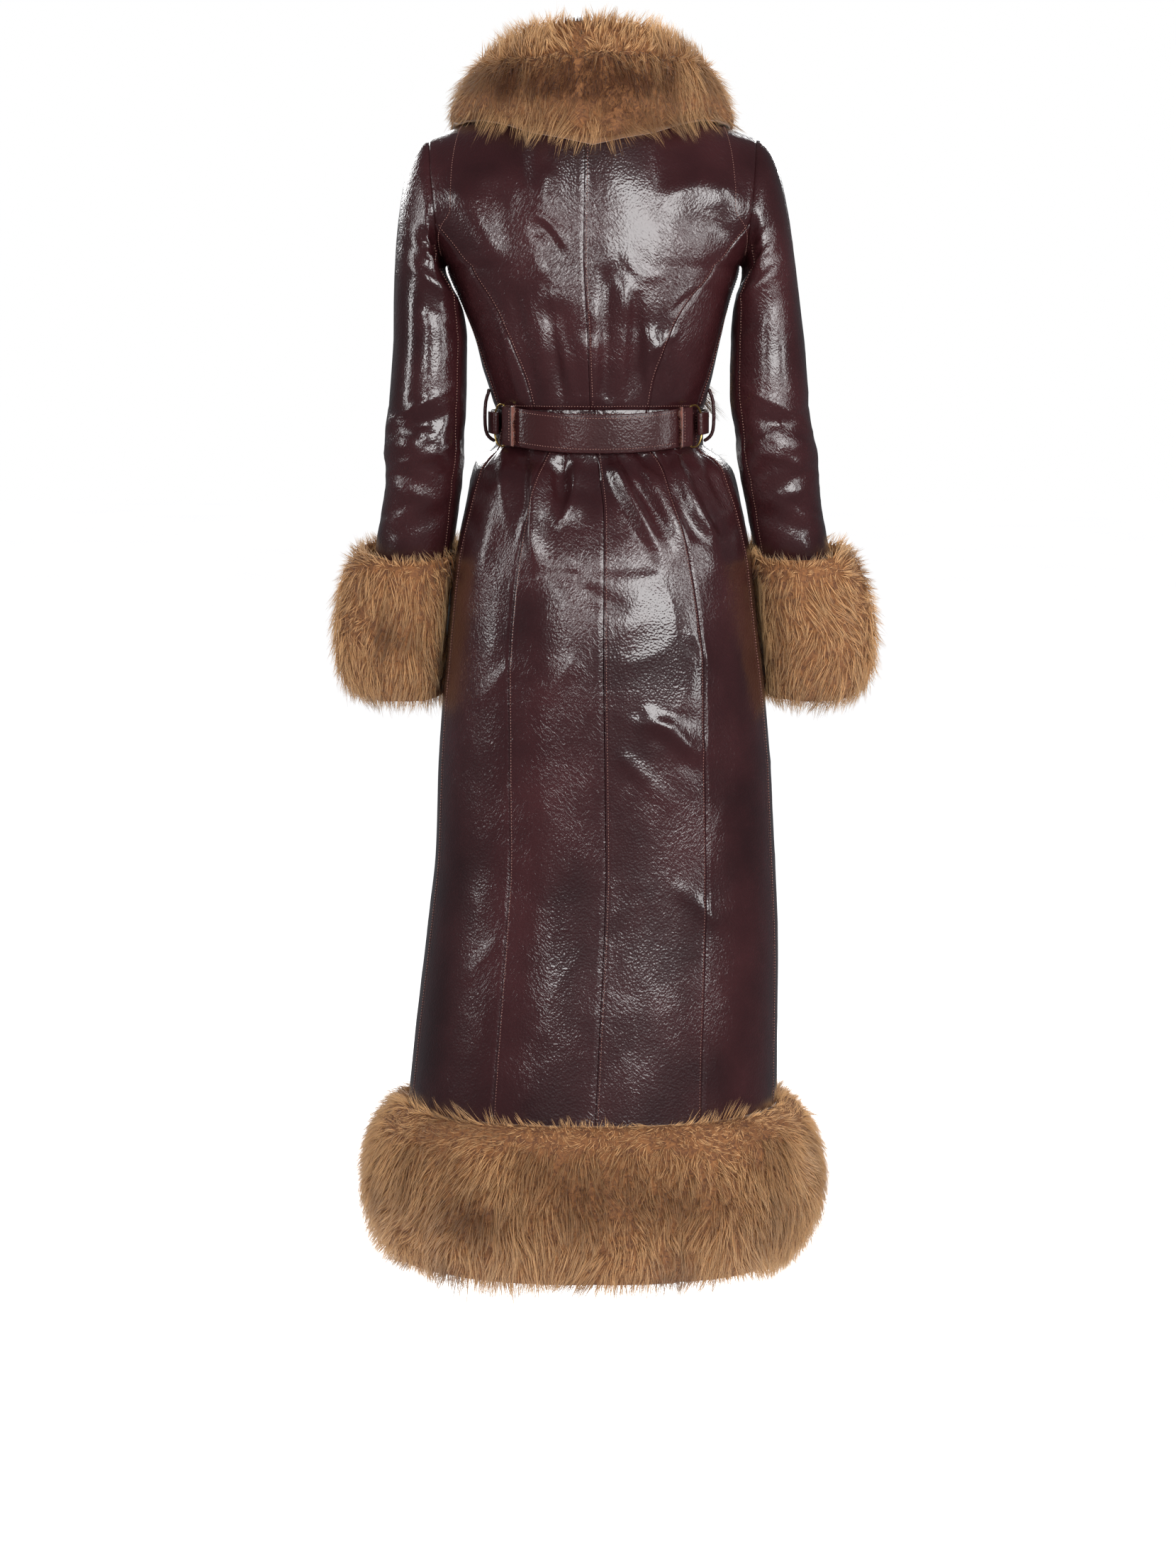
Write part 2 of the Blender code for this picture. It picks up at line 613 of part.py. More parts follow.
def sleeve_head(side, angle, t):
    """The sleeve's head: a curve from the armhole's edge, outwards and down to the first ring."""
    top = (1 - math.cos(math.radians(angle))) / 2
    lifted = math.radians(80 * max(0.0, 1 - 4 * top))
    start = armhole_point(side, angle)
    start = start + ARMHOLE_GAP * np.array((side * math.cos(lifted), 0.0, math.sin(lifted)))
    end = sleeve_ring(side, angle, SLEEVE_RING_Z)
    reach = 0.010 + 0.022 * top
    drop = 0.045 + 0.070 * top
    leave = start + np.array((side * reach, 0.0, -0.010 * top))
    arrive = end + np.array((-side * SLEEVE_FLARE[side] * drop * top, 0.0, drop))
    curve = ((1 - t) ** 3, 3 * t * (1 - t) ** 2, 3 * t * t * (1 - t), t**3)
    return sum(weight * point for weight, point in zip(curve, (start, leave, arrive, end)))


def bare_sleeve(side, angle, u):
    """The sleeve without folds: u runs 0 to 1 down the head, and 1 to 2 down to the wrist."""
    if u <= 1:
        return sleeve_head(side, angle, max(u, 0.0))
    return sleeve_ring(side, angle, SLEEVE_RING_Z + (SLEEVE_END_Z - SLEEVE_RING_Z) * (u - 1))


def sleeve_normal(side, angle, u):
    """The outward normal. At the armhole it leans to the body's own, so that the two walls meet square."""
    if u < 0.02:
        slope_u = sleeve_head(side, angle, 0.03) - sleeve_head(side, angle, 0.0)
        around = sleeve_head(side, angle + 4, 0.015) - sleeve_head(side, angle - 4, 0.015)
        normal = side * np.cross(around, slope_u)
        normal /= np.linalg.norm(normal)
        top = (1 - math.cos(math.radians(angle))) / 2
        body_angle = side * (89.0 if math.sin(math.radians(angle)) >= 0 else 91.0)
        normal = normal * max(0.0, 1 - 4 * top) + body_normal(body_angle, arm_share(angle))
        return normal / np.linalg.norm(normal)
    return side * normal_of(lambda a, b: bare_sleeve(side, a, b), angle, u, 2.0, 0.012)


def sleeve_point(side, angle, u, out=0.0):
    point = bare_sleeve(side, angle, u)
    height = 0.0
    for fold in SLEEVE_FOLDS:
        away = (angle - fold.angle + 180) % 360 - 180
        middle = fold.z + fold.rise * away / fold.spread
        height += fold.height * math.exp(
            -(((point[2] - middle) / fold.half_height) ** 2) - (away / fold.spread) ** 2
        )
    height *= smoothstep(u / 0.3) * smoothstep((2 - u) / 0.12)
    return point + sleeve_normal(side, angle, u) * (out + height)


SLEEVE_STEPS = [0.0, 0.12, 0.26, 0.42, 0.58, 0.76, 1.0, 1.10, 1.20, 1.30, 1.38, 1.46, 1.54, 1.62]
SLEEVE_STEPS += [1.72, 1.86, 2.0]


def add_sleeves(leather):
    low, high = BACK_SEAM_ANGLE - SLEEVE_GAP_ANGLE, BACK_SEAM_ANGLE + SLEEVE_GAP_ANGLE
    for name, side in (("left", 1), ("right", -1)):
        for piece, first, last in (("under", -low, low), ("upper", high, 360 - high)):
            inside = [a for a in range(-180, 541, SLEEVE_STEP_ANGLE) if first + 2 < a < last - 2]
            angles = [first] + inside + [last]
            outer = [[sleeve_point(side, a, u) for a in angles] for u in SLEEVE_STEPS]
            inner = [[sleeve_point(side, a, u, -LEATHER) for a in angles] for u in SLEEVE_STEPS]
            add_wall(f"sleeve_{piece}_{name}", outer, inner, leather)


def clear_of_body(side, point):
    """The point moved sideways where needed so that it stays clear of the skirt's side."""
    z = point[2]
    depth = read("body", "back" if point[1] > 0 else "front", z)
    deep = min(abs(point[1]) / depth, 1.0)
    edge = read("body", "half_width", z) * (1 - deep**ROUNDNESS) ** (1 / ROUNDNESS)
    least = side * read("body", "middle_x", z) + edge + BODY_CLEARANCE
    return np.array((side * max(side * point[0], least), point[1], z))


def add_cuffs(fur):
    for name, side in (("left", 1), ("right", -1)):
        rings = []
        for angle in np.arange(0, 360, SLEEVE_STEP_ANGLE):
            turned = math.radians(angle)
            inner_share, outer_share = max(math.cos(turned), 0) ** 2, max(-math.cos(turned), 0) ** 2
            sideways = math.sin(turned) ** 2 * CUFF_REACH["back" if angle < 180 else "front"]
            reach = sideways + inner_share * CUFF_REACH["inner"] + outer_share * CUFF_REACH["outer"]
            ring = []
            for row in CUFF_SECTION:
                on_ring = sleeve_ring(side, angle, row.z)
                out = np.array((-side * math.cos(turned), math.sin(turned), 0.0))
                length = reach * row.reach if row.reach >= 0 else -LEATHER
                point = on_ring + out * length
                ring.append(clear_of_body(side, point) if row.reach > 0.05 else point)
            inner_top = sleeve_ring(side, angle, CUFF_SECTION[0].z)
            ring.append(inner_top - out * LEATHER)
            rings.append(ring)
        add_swept(f"fur_cuff_{name}", rings, fur, closed=True)


def add_hem(fur):
    rings = []
    for angle in np.arange(0, 360, 7.5):
        ring = []
        for row in HEM_SECTION:
            on_ring = ring_point(angle, HEM_RING_Z)
            out = np.array((math.sin(math.radians(angle)), math.cos(math.radians(angle)), 0.0))
            point = on_ring + out * row.reach
            point[2] = row.z
            ring.append(point)
        rings.append(ring)
    add_swept("fur_hem_band", rings, fur, closed=True)


def station_ring(station, side):
    """One section of the shawl collar: a soft arch over the coat, its base on the coat."""
    ends = []
    for share, height in (
        (station.inner, station.inner_height),
        (station.outer, station.outer_height),
    ):
        angle = angle_of(side * share)
        if station.front:
            angle = 180 - angle
        ends.append((angle, height))
    rise = OVERLAP_RISE if station.front and side > 0 else 0.0
    base = []
    for t in np.linspace(0, 1, 8):
        angle = ends[0][0] + (ends[1][0] - ends[0][0]) * t
        height = ends[0][1] + (ends[1][1] - ends[0][1]) * t
        base.append(body_point(angle, height, rise + COLLAR_GAP))
    middle = body_normal((ends[0][0] + ends[1][0]) / 2, (ends[0][1] + ends[1][1]) / 2)
    plan = np.array((middle[0], middle[1], 0.0))
    plan /= np.linalg.norm(plan)
    up = np.array((0.0, 0.0, 1.0))
    leave = base[0] + plan * station.in_out + up * station.in_up
    arrive = base[-1] + plan * station.out_out + up * station.out_up
    arch = []
    for t in np.linspace(0, 1, 8)[1:-1]:
        curve = ((1 - t) ** 3, 3 * t * (1 - t) ** 2, 3 * t * t * (1 - t), t**3)
        ends_and_handles = (base[0], leave, arrive, base[-1])
        arch.append(sum(weight * point for weight, point in zip(curve, ends_and_handles)))
    return base[::-1] + arch


def between_stations(stations, steps):
    """The stations with smoothly placed ones added between them."""
    places = np.arange(len(stations), dtype=float)
    values = np.array(stations, dtype=float)
    rows = []
    for place in np.linspace(0, len(stations) - 1, (len(stations) - 1) * steps + 1):
        row = [smooth(places, values[:, c], place) for c in range(values.shape[1])]
        rows.append(Station(row[0] >= 0.5, *row[1:]))
    return rows


def add_shawl_collar(fur):
    left = between_stations(COLLAR + LAPEL, 2)
    right = between_stations(COLLAR + RIGHT_END, 2)
    rings = [station_ring(station, -1) for station in right[:0:-1]]
    rings += [station_ring(station, 1) for station in left]
    add_swept("fur_shawl_collar", rings, fur)


TRIM_LEVELS = [-0.395, -0.412, -0.435, -0.470, -0.520, -0.580, -0.650, -0.730, -0.810, -0.890, -0.960]
TRIM_LEVELS += [-1.030, -1.068, -1.086]


def add_front_trim(fur):
    """The fur along the over front's edge, from under the belt to the hem band."""
    rings = []
    for z in TRIM_LEVELS:
        half = read("body", "half_width", z)
        middle = (read("trim", "edge", z) - read("body", "middle_x", z)) / half
        wide = read("trim", "half_width", z) / half
        inner = angle_of(max(middle - wide, -0.985), front=True)
        outer = angle_of(middle + wide, front=True)
        height = z - ARMPIT_Z
        angles = np.linspace(inner, outer, 6)
        base = [body_point(angle, height, OVERLAP_RISE + TRIM_GAP) for angle in angles]
        handle = read("trim", "pile", z)
        leave = base[0] + body_normal(inner, height) * handle
        arrive = base[-1] + body_normal(outer, height) * handle
        arch = []
        for t in np.linspace(0, 1, 8)[1:-1]:
            curve = ((1 - t) ** 3, 3 * t * (1 - t) ** 2, 3 * t * t * (1 - t), t**3)
            corners = (base[0], leave, arrive, base[-1])
            arch.append(sum(weight * point for weight, point in zip(curve, corners)))
        rings.append(base[::-1] + arch)
    add_swept("fur_front_trim", rings, fur)


def belt_point(angle, out, up=0.0):
    """A point on the belt's path round the waist, out from its inner face and up from its middle."""
    across, along = share_of(angle)
    depth = BELT_BACK if along > 0 else BELT_FRONT
    turned = math.radians(angle)
    plan = np.array((math.sin(turned) / BELT_HALF_WIDTH, math.cos(turned) / depth, 0.0))
    plan /= np.linalg.norm(plan)
    sag = BELT_SAG * max(math.cos(turned), 0.0) ** 2
    middle = np.array((BELT_MIDDLE_X + across * BELT_HALF_WIDTH, along * depth, BELT_Z - sag))
    return middle + plan * out + np.array((0.0, 0.0, up))


def add_folded_strap(name, path, height, material):
    """A strap swept along a path of (angle, out) pairs: an upright band of even thickness."""
    middles = [belt_point(angle, out) for angle, out in path]
    rings = []
    for i, middle in enumerate(middles):
        ahead = middles[min(i + 1, len(middles) - 1)] - middles[max(i - 1, 0)]
        ahead[2] = 0.0
        ahead /= np.linalg.norm(ahead)
        aside = np.array((ahead[1], -ahead[0], 0.0)) * BELT_LEATHER / 2
        up = np.array((0.0, 0.0, height / 2))
        rings.append([middle + aside + up, middle - aside + up, middle - aside - up, middle + aside - up])
    return add_swept(name, rings, material)


def belt_angle(start, distance):
    """The angle reached by going a distance along the belt's path from a starting angle."""
    step = math.copysign(0.5, distance)
    angle, gone, last = start, 0.0, 1.0
    while gone < abs(distance):
        last = np.linalg.norm(belt_point(angle + step, BAR_OUT) - belt_point(angle, BAR_OUT))
        gone += last
        angle += step
    return angle - step * (gone - abs(distance)) / last


FOLD_RADIUS = WIRE + WIRE_GAP + BELT_LEATHER / 2
BAR_OUT = BELT_LEATHER / 2 + FOLD_RADIUS


def fold_round(angle, turn, tail):
    """Path points of a strap's end folded round a bar at an angle, then back along itself.

    turn is +1 where the strap arrives with rising angle. The tail lies on the outside.
    """
    points = []
    for half_turn in np.linspace(-90, 90, 7):
        turned = math.radians(half_turn)
        ahead = turn * FOLD_RADIUS * math.cos(turned)
        points.append((belt_angle(angle, ahead), BAR_OUT + FOLD_RADIUS * math.sin(turned)))
    for share in (0.35, 0.7, 1.0):
        points.append((belt_angle(angle, -turn * tail * share), BAR_OUT + FOLD_RADIUS))
    return points


def add_wire_ring(name, start, end, outline, material):
    """A wire bent along an outline of (ahead, up) points, in the upright plane through two points."""
    ahead = end - start
    ahead[2] = 0.0
    ahead /= np.linalg.norm(ahead)
    up = np.array((0.0, 0.0, 1.0))
    face = np.cross(ahead, up)
    points = [start + ahead * along + up * high for along, high in outline]
    rings = []
    for i, point in enumerate(points):
        tangent = points[(i + 1) % len(points)] - points[i - 1]
        tangent /= np.linalg.norm(tangent)
        side = np.cross(tangent, face)
        side /= np.linalg.norm(side)
        ring = []
        for corner in range(6):
            turned = math.radians(60 * corner)
            ring.append(point + (side * math.cos(turned) + face * math.sin(turned)) * WIRE)
        rings.append(ring)
    add_swept(name, rings, material, closed=True, crease=60)


RING_HALF = BELT_HEIGHT / 2 + WIRE + 0.0010


def d_outline():
    """A D: a straight bar at 0 and a round side that reaches the ring's depth."""
    points = [(0.0, RING_HALF * share) for share in (-0.97, -0.5, 0.0, 0.5, 0.97)]
    for turned in np.linspace(80, -80, 13):
        bend = math.radians(turned)
        points.append((RING_DEPTH * math.cos(bend) ** 0.5, RING_HALF * math.sin(bend)))
    return points


def box_outline(length, height, corner):
    """A rectangle with rounded corners, its middle at 0."""
    points = []
    for sx, sz, start in ((1, 1, 0), (-1, 1, 90), (-1, -1, 180), (1, -1, 270)):
        for turned in (0, 30, 60, 90):
            bend = math.radians(start + turned)
            along = sx * (length / 2 - corner) + corner * math.cos(bend)
            points.append((along, sz * (height / 2 - corner) + corner * math.sin(bend)))
    return points


def add_belt(leather, brass):
    out = BELT_LEATHER / 2
    clear = BACK_CLEAR_ANGLE
    back = fold_round(RING_ANGLE[-1], -1, BACK_TAIL)[::-1]
    back += [(angle, out) for angle in np.linspace(RING_ANGLE[-1] + clear, RING_ANGLE[1] - clear, 17)]
    back += fold_round(RING_ANGLE[1], 1, BACK_TAIL)
    add_folded_strap("belt_back", back, BELT_HEIGHT, leather)
    # How far the D's round side has come back in at the edges of the strap, which lies higher than it
    share = (STRAP_HEIGHT / 2 + RING_DROP) / RING_HALF
    slack = RING_DEPTH * (1 - (1 - share**2) ** 0.25) + 0.0002
    front_ends = {}
    for name, side in (("left", 1), ("right", -1)):
        bar = belt_point(RING_ANGLE[side], BAR_OUT)
        ring_end = belt_angle(RING_ANGLE[side], side * (RING_DEPTH - slack))
        add_wire_ring(f"d_ring_{name}", bar, belt_point(ring_end, BAR_OUT), d_outline(), brass)
        front_end = belt_angle(180.0 * side, -side * FRONT_RING_LENGTH / 2)
        start = fold_round(ring_end, -side, STRAP_TAIL)[::-1]
        finish = fold_round(front_end, side, FRONT_TAIL[side])
        clear = side * STRAP_CLEAR_ANGLE
        span = np.linspace(ring_end + clear, front_end - clear, 14)
        path = start + [(angle, out) for angle in span] + finish
        add_folded_strap(f"belt_strap_{name}", path, STRAP_HEIGHT, leather)
        front_ends[side] = belt_point(front_end, BAR_OUT)
    middle = (front_ends[1] + front_ends[-1]) / 2
    long = np.linalg.norm(front_ends[1] - front_ends[-1])
    outline = box_outline(long, STRAP_HEIGHT + FRONT_RING_SPARE, FRONT_RING_CORNER)
    add_wire_ring("front_ring", middle, front_ends[1], outline, brass)
    add_keeper(leather)
    add_belt_loops(leather)


def band_round(name, angle, low, high, height, width, thickness, material):
    """A closed leather loop round a strap: low and high are its inner faces, out from the path."""
    rings = []
    half = height / 2
    for along in (-width / 2, width / 2):
        ring_angle = belt_angle(angle, along) if along else angle
        outer = [(low - thickness, -half - thickness), (low - thickness, half + thickness)]
        outer += [(high + thickness, half + thickness), (high + thickness, -half - thickness)]
        inner = [(low, -half), (low, half), (high, half), (high, -half)]
        rings.append([belt_point(ring_angle, out, up) for out, up in outer])
        rings.append([belt_point(ring_angle, out, up) for out, up in inner])
    order = [rings[0], rings[2], rings[3], rings[1]]
    add_torus(name, order, material)


def add_torus(name, rings, material):
    """A square-sectioned loop from four matching outlines."""
    points = [p for ring in rings for p in ring]
    faces = grid_faces(len(rings), len(rings[0]), around_rows=True, around_columns=True)
    return add_object(name, points, faces, material)


def add_keeper(leather):
    """The leather keeper over the right strap's folded tail, at the hidden front."""
    place = belt_angle(-180.0, KEEPER_PLACE)
    high = 2 * FOLD_RADIUS + BELT_LEATHER + KEEPER_GAP
    height = STRAP_HEIGHT + 2 * KEEPER_GAP
    band_round("belt_keeper", place, -KEEPER_GAP, high, height, KEEPER_WIDTH, KEEPER_THICKNESS, leather)


# A loop's middle line: how far out from the belt's path, never closer to the coat than the standoff
LoopRow = namedtuple("LoopRow", "z out")
BELT_LOOP = (
    LoopRow(-0.3140, -0.0200),
    LoopRow(-0.3175, 0.0040),
    LoopRow(-0.3250, 0.0078),
    LoopRow(-0.3450, 0.0085),
    LoopRow(-0.3600, 0.0078),
    LoopRow(-0.3665, 0.0040),
    LoopRow(-0.3700, -0.0020),
)


def add_belt_loops(leather):
    """The standing loops at the sides, sewn to the coat above and below the straps."""
    for name, side in (("left", 1), ("right", -1)):
        middles = []
        for row in BELT_LOOP:
            coat = side * read("body", "middle_x", row.z) + read("body", "half_width", row.z)
            belt = side * BELT_MIDDLE_X + BELT_HALF_WIDTH
            middles.append((max(belt + row.out, coat + LOOP_STANDOFF), row.z))
        rings = []
        for i, middle in enumerate(middles):
            before, after = middles[max(i - 1, 0)], middles[min(i + 1, len(middles) - 1)]
            ahead = np.array((after[0] - before[0], after[1] - before[1]))
            ahead /= np.linalg.norm(ahead)
            aside = np.array((ahead[1], -ahead[0])) * LOOP_THICKNESS / 2
            ring = []
            for sign, wide in ((1, 1), (-1, 1), (-1, -1), (1, -1)):
                x, z = middle[0] + sign * aside[0], middle[1] + sign * aside[1]
                ring.append(np.array((side * x, LOOP_Y + wide * LOOP_WIDTH / 2, z)))
            rings.append(ring)
        add_swept(f"belt_loop_{name}", rings, leather)


def add_material(name, colour, roughness, metallic=0.0):
    made = bpy.data.materials.new(name)
    made.use_nodes = True
    shader = made.node_tree.nodes["Principled BSDF"]
    shader.inputs["Base Color"].default_value = (*colour, 1.0)
    shader.inputs["Roughness"].default_value = roughness
    shader.inputs["Metallic"].default_value = metallic
    return made


def main():
    for old in list(bpy.data.objects):
        bpy.data.objects.remove(old)
    leather = add_material("glossy_leather", (0.030, 0.010, 0.012), 0.25)
    fur = add_material("brown_fur", (0.22, 0.12, 0.06), 0.9)
    brass = add_material("brass_wire", (0.80, 0.58, 0.25), 0.25, 1.0)
    add_bodice(leather)
    add_skirt(leather)
    add_sleeves(leather)
    add_cuffs(fur)
    add_hem(fur)
    add_shawl_collar(fur)
    add_front_trim(fur)
    add_belt(leather, brass)


main()
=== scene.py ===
"""Dresses the packed coat: glossy leather panels, topstitching, long fur, belt, rings and the studio.

The front faces -Y and the back +Y. +X is the coat's own left side. Lengths are in metres and angles
in degrees.
"""

import contextlib
import itertools
import math
from collections import namedtuple

import bmesh
import bpy
import numpy as np
from bpy.props import FloatProperty, FloatVectorProperty, IntProperty, PointerProperty
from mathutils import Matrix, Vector
from mathutils.bvhtree import BVHTree
from mathutils.kdtree import KDTree


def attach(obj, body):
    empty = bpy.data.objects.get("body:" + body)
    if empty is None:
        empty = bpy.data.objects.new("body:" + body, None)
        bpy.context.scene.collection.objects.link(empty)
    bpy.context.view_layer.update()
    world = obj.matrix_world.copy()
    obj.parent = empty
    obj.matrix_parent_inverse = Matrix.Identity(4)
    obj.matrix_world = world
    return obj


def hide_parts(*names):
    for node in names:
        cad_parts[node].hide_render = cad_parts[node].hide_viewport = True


bl_info = {
    "name": "Belted fur-trimmed leather coat",
    "version": (1, 0, 0),
    "blender": (4, 5, 0),
    "location": "View3D > Sidebar > Coat",
    "description": "Models the coat's leather, stitching, fur, belt and studio around its packed parts",
    "category": "Object",
}

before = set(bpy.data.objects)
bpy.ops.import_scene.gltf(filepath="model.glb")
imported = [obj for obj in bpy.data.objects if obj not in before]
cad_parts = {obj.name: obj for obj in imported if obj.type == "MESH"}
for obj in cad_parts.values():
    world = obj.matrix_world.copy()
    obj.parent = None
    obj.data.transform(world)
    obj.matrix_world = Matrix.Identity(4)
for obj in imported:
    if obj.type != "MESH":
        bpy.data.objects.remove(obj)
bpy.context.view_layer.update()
BODY_NAME = "root"

# The coat's own sizes, as its solids have them
LEATHER = 0.002
SEAM_GAP = 0.0003
ARMHOLE_GAP = 0.0007
ARMPIT_Z = -0.180
BODICE_MIDDLE_Z = -0.250
WAIST_Z = -0.335
ELBOW_Z = -0.385
HEM_Z = -1.100
HEM_RING_Z = -1.105
SHOULDER_HALF = 0.179
SHOULDER_SLOPE = 0.404
SHOULDER_X = 0.003
SHOULDER_Y = -0.005
NECK_HALF = 0.075
NECK_DEPTH = 0.060
NECK_RISE = 0.010
ARMHOLE_SHARE = 0.62
ARMHOLE_START = 0.33
ROUNDNESS = 2.3
OVERLAP_RISE = 0.0050
SLEEVE_RING_Z = -0.260
SLEEVE_END_Z = -0.512
YOKE_LENGTH = 0.215
BACK_EDGE = 89.98
BACK_SEAM_ANGLE = 36
SLEEVE_GAP_ANGLE = 0.22
SLEEVE_FLARE = {1: 0.02, -1: 0.13}

# Shares of the way up from the armpit to the shoulder: where the back's curved seams and its panels end
SEAM_TOP = 0.24
YOKE_TOP = 0.9988

BELT_HEIGHT = 0.042
BELT_Z = -0.3480
BELT_SAG = 0.0125
BELT_MIDDLE_X = -0.0045
BELT_HALF_WIDTH = 0.1175
SIDES = (("left", 1), ("right", -1))


def rows_of(kind, *rows):
    """A table's rows, with their columns' names."""
    return tuple(kind(*row) for row in rows)


# The body's rings: half width, half depths behind and in front, and the middle's sway
BodyRow = namedtuple("BodyRow", "z half_width back front middle_x")
BODY = rows_of(
    BodyRow,
    (-0.160, 0.161, 0.112, 0.112, 0.0030),
    (-0.180, 0.160, 0.112, 0.112, 0.0020),
    (-0.215, 0.148, 0.112, 0.114, 0.0000),
    (-0.260, 0.1340, 0.108, 0.113, -0.0025),
    (-0.291, 0.1265, 0.101, 0.107, -0.0035),
    (-0.322, 0.1180, 0.094, 0.101, -0.0042),
    (-0.340, 0.1135, 0.091, 0.098, -0.0045),
    (-0.374, 0.1140, 0.092, 0.099, -0.0050),
    (-0.388, 0.1310, 0.096, 0.104, -0.0068),
    (-0.400, 0.1400, 0.107, 0.109, -0.0075),
    (-0.417, 0.1450, 0.119, 0.112, -0.0079),
    (-0.448, 0.1530, 0.133, 0.117, -0.0090),
    (-0.500, 0.1630, 0.146, 0.120, -0.0090),
    (-0.583, 0.1715, 0.151, 0.124, -0.0085),
    (-0.730, 0.1840, 0.153, 0.137, -0.0102),
    (-0.825, 0.1880, 0.158, 0.147, -0.0110),
    (-0.888, 0.1930, 0.164, 0.154, -0.0090),
    (-1.014, 0.2010, 0.181, 0.170, -0.0020),
    (-1.110, 0.2060, 0.193, 0.182, 0.0030),
)

# The back's seams as shares of the half width. Height is metres below the armpit, or the share of
# the way up from the armpit to the shoulder.
BodiceSeams = namedtuple("BodiceSeams", "height centre left right side_angle")
BODICE_SEAMS = rows_of(
    BodiceSeams,
    (-0.172, 0.089, 0.620, -0.465, 66.0),
    (-0.127, 0.086, 0.645, -0.480, 70.0),
    (-0.091, 0.082, 0.690, -0.540, 75.0),
    (-0.051, 0.078, 0.740, -0.640, 82.0),
    (-0.015, 0.070, 0.805, -0.780, 88.5),
    (0.000, 0.068, 0.825, -0.820, 90.0),
    (0.100, 0.062, 0.905, -0.905, 90.0),
    (0.240, 0.056, 1.000, -1.000, 90.0),
    (1.000, 0.035, 1.000, -1.000, 90.0),
)
SkirtSeams = namedtuple("SkirtSeams", "z centre left right side_angle")
SKIRT_SEAMS = rows_of(
    SkirtSeams,
    (-0.352, 0.055, 0.470, -0.455, 64.0),
    (-0.386, 0.035, 0.476, -0.468, 65.0),
    (-0.439, 0.000, 0.530, -0.510, 68.0),
    (-0.500, 0.000, 0.570, -0.575, 71.0),
    (-0.604, 0.000, 0.586, -0.612, 73.0),
    (-0.700, 0.000, 0.567, -0.585, 74.0),
    (-1.046, -0.010, 0.535, -0.569, 74.0),
    (-1.110, -0.012, 0.532, -0.569, 74.0),
)
FrontEdges = namedtuple("FrontEdges", "height over under")
FRONT_EDGES = rows_of(
    FrontEdges,
    (-0.930, -0.480, 0.240),
    (-0.320, -0.560, 0.300),
    (-0.200, -0.720, 0.380),
    (-0.172, -0.760, 0.420),
    (-0.080, -0.430, 0.300),
    (0.000, -0.060, 0.060),
    (0.500, 0.200, -0.200),
    (1.000, 0.430, -0.430),
)

# Folds: soft ridges (height above zero) and troughs that run from top to foot
Fold = namedtuple("Fold", "top_share top_z foot_share foot_z half_width height")
BACK_FOLDS = rows_of(
    Fold,
    (0.30, -0.210, 0.36, -0.348, 0.014, -0.0045),
    (0.42, -0.230, 0.45, -0.348, 0.010, 0.0035),
    (-0.26, -0.220, -0.30, -0.348, 0.013, -0.0050),
    (-0.42, -0.240, -0.40, -0.348, 0.010, 0.0030),
    (0.06, -0.250, 0.10, -0.348, 0.016, 0.0040),
    (0.52, -0.385, 0.46, -0.520, 0.010, 0.0060),
    (0.35, -0.385, 0.28, -0.440, 0.012, -0.0065),
    (0.22, -0.385, 0.20, -0.460, 0.010, 0.0050),
    (-0.06, -0.385, -0.38, -0.500, 0.010, 0.0060),
    (-0.20, -0.385, -0.45, -0.470, 0.009, -0.0055),
    (-0.34, -0.385, -0.58, -0.500, 0.010, 0.0060),
    (-0.56, -0.385, -0.80, -0.540, 0.013, 0.0050),
    (0.74, -0.385, 0.86, -0.560, 0.013, 0.0050),
    (0.30, -0.500, -0.10, -0.560, 0.020, -0.0035),
    (-0.30, -0.660, -0.55, -0.720, 0.022, 0.0040),
)
FRONT_FOLDS = rows_of(
    Fold,
    (0.55, -0.385, 0.62, -0.540, 0.014, 0.0050),
    (0.30, -0.385, 0.34, -0.480, 0.016, -0.0035),
    (0.05, -0.385, 0.08, -0.520, 0.016, 0.0035),
    (-0.84, -0.385, -0.90, -0.520, 0.012, 0.0050),
    (0.50, -0.220, 0.46, -0.348, 0.014, -0.0040),
    (-0.92, -0.240, -0.90, -0.348, 0.012, -0.0040),
)

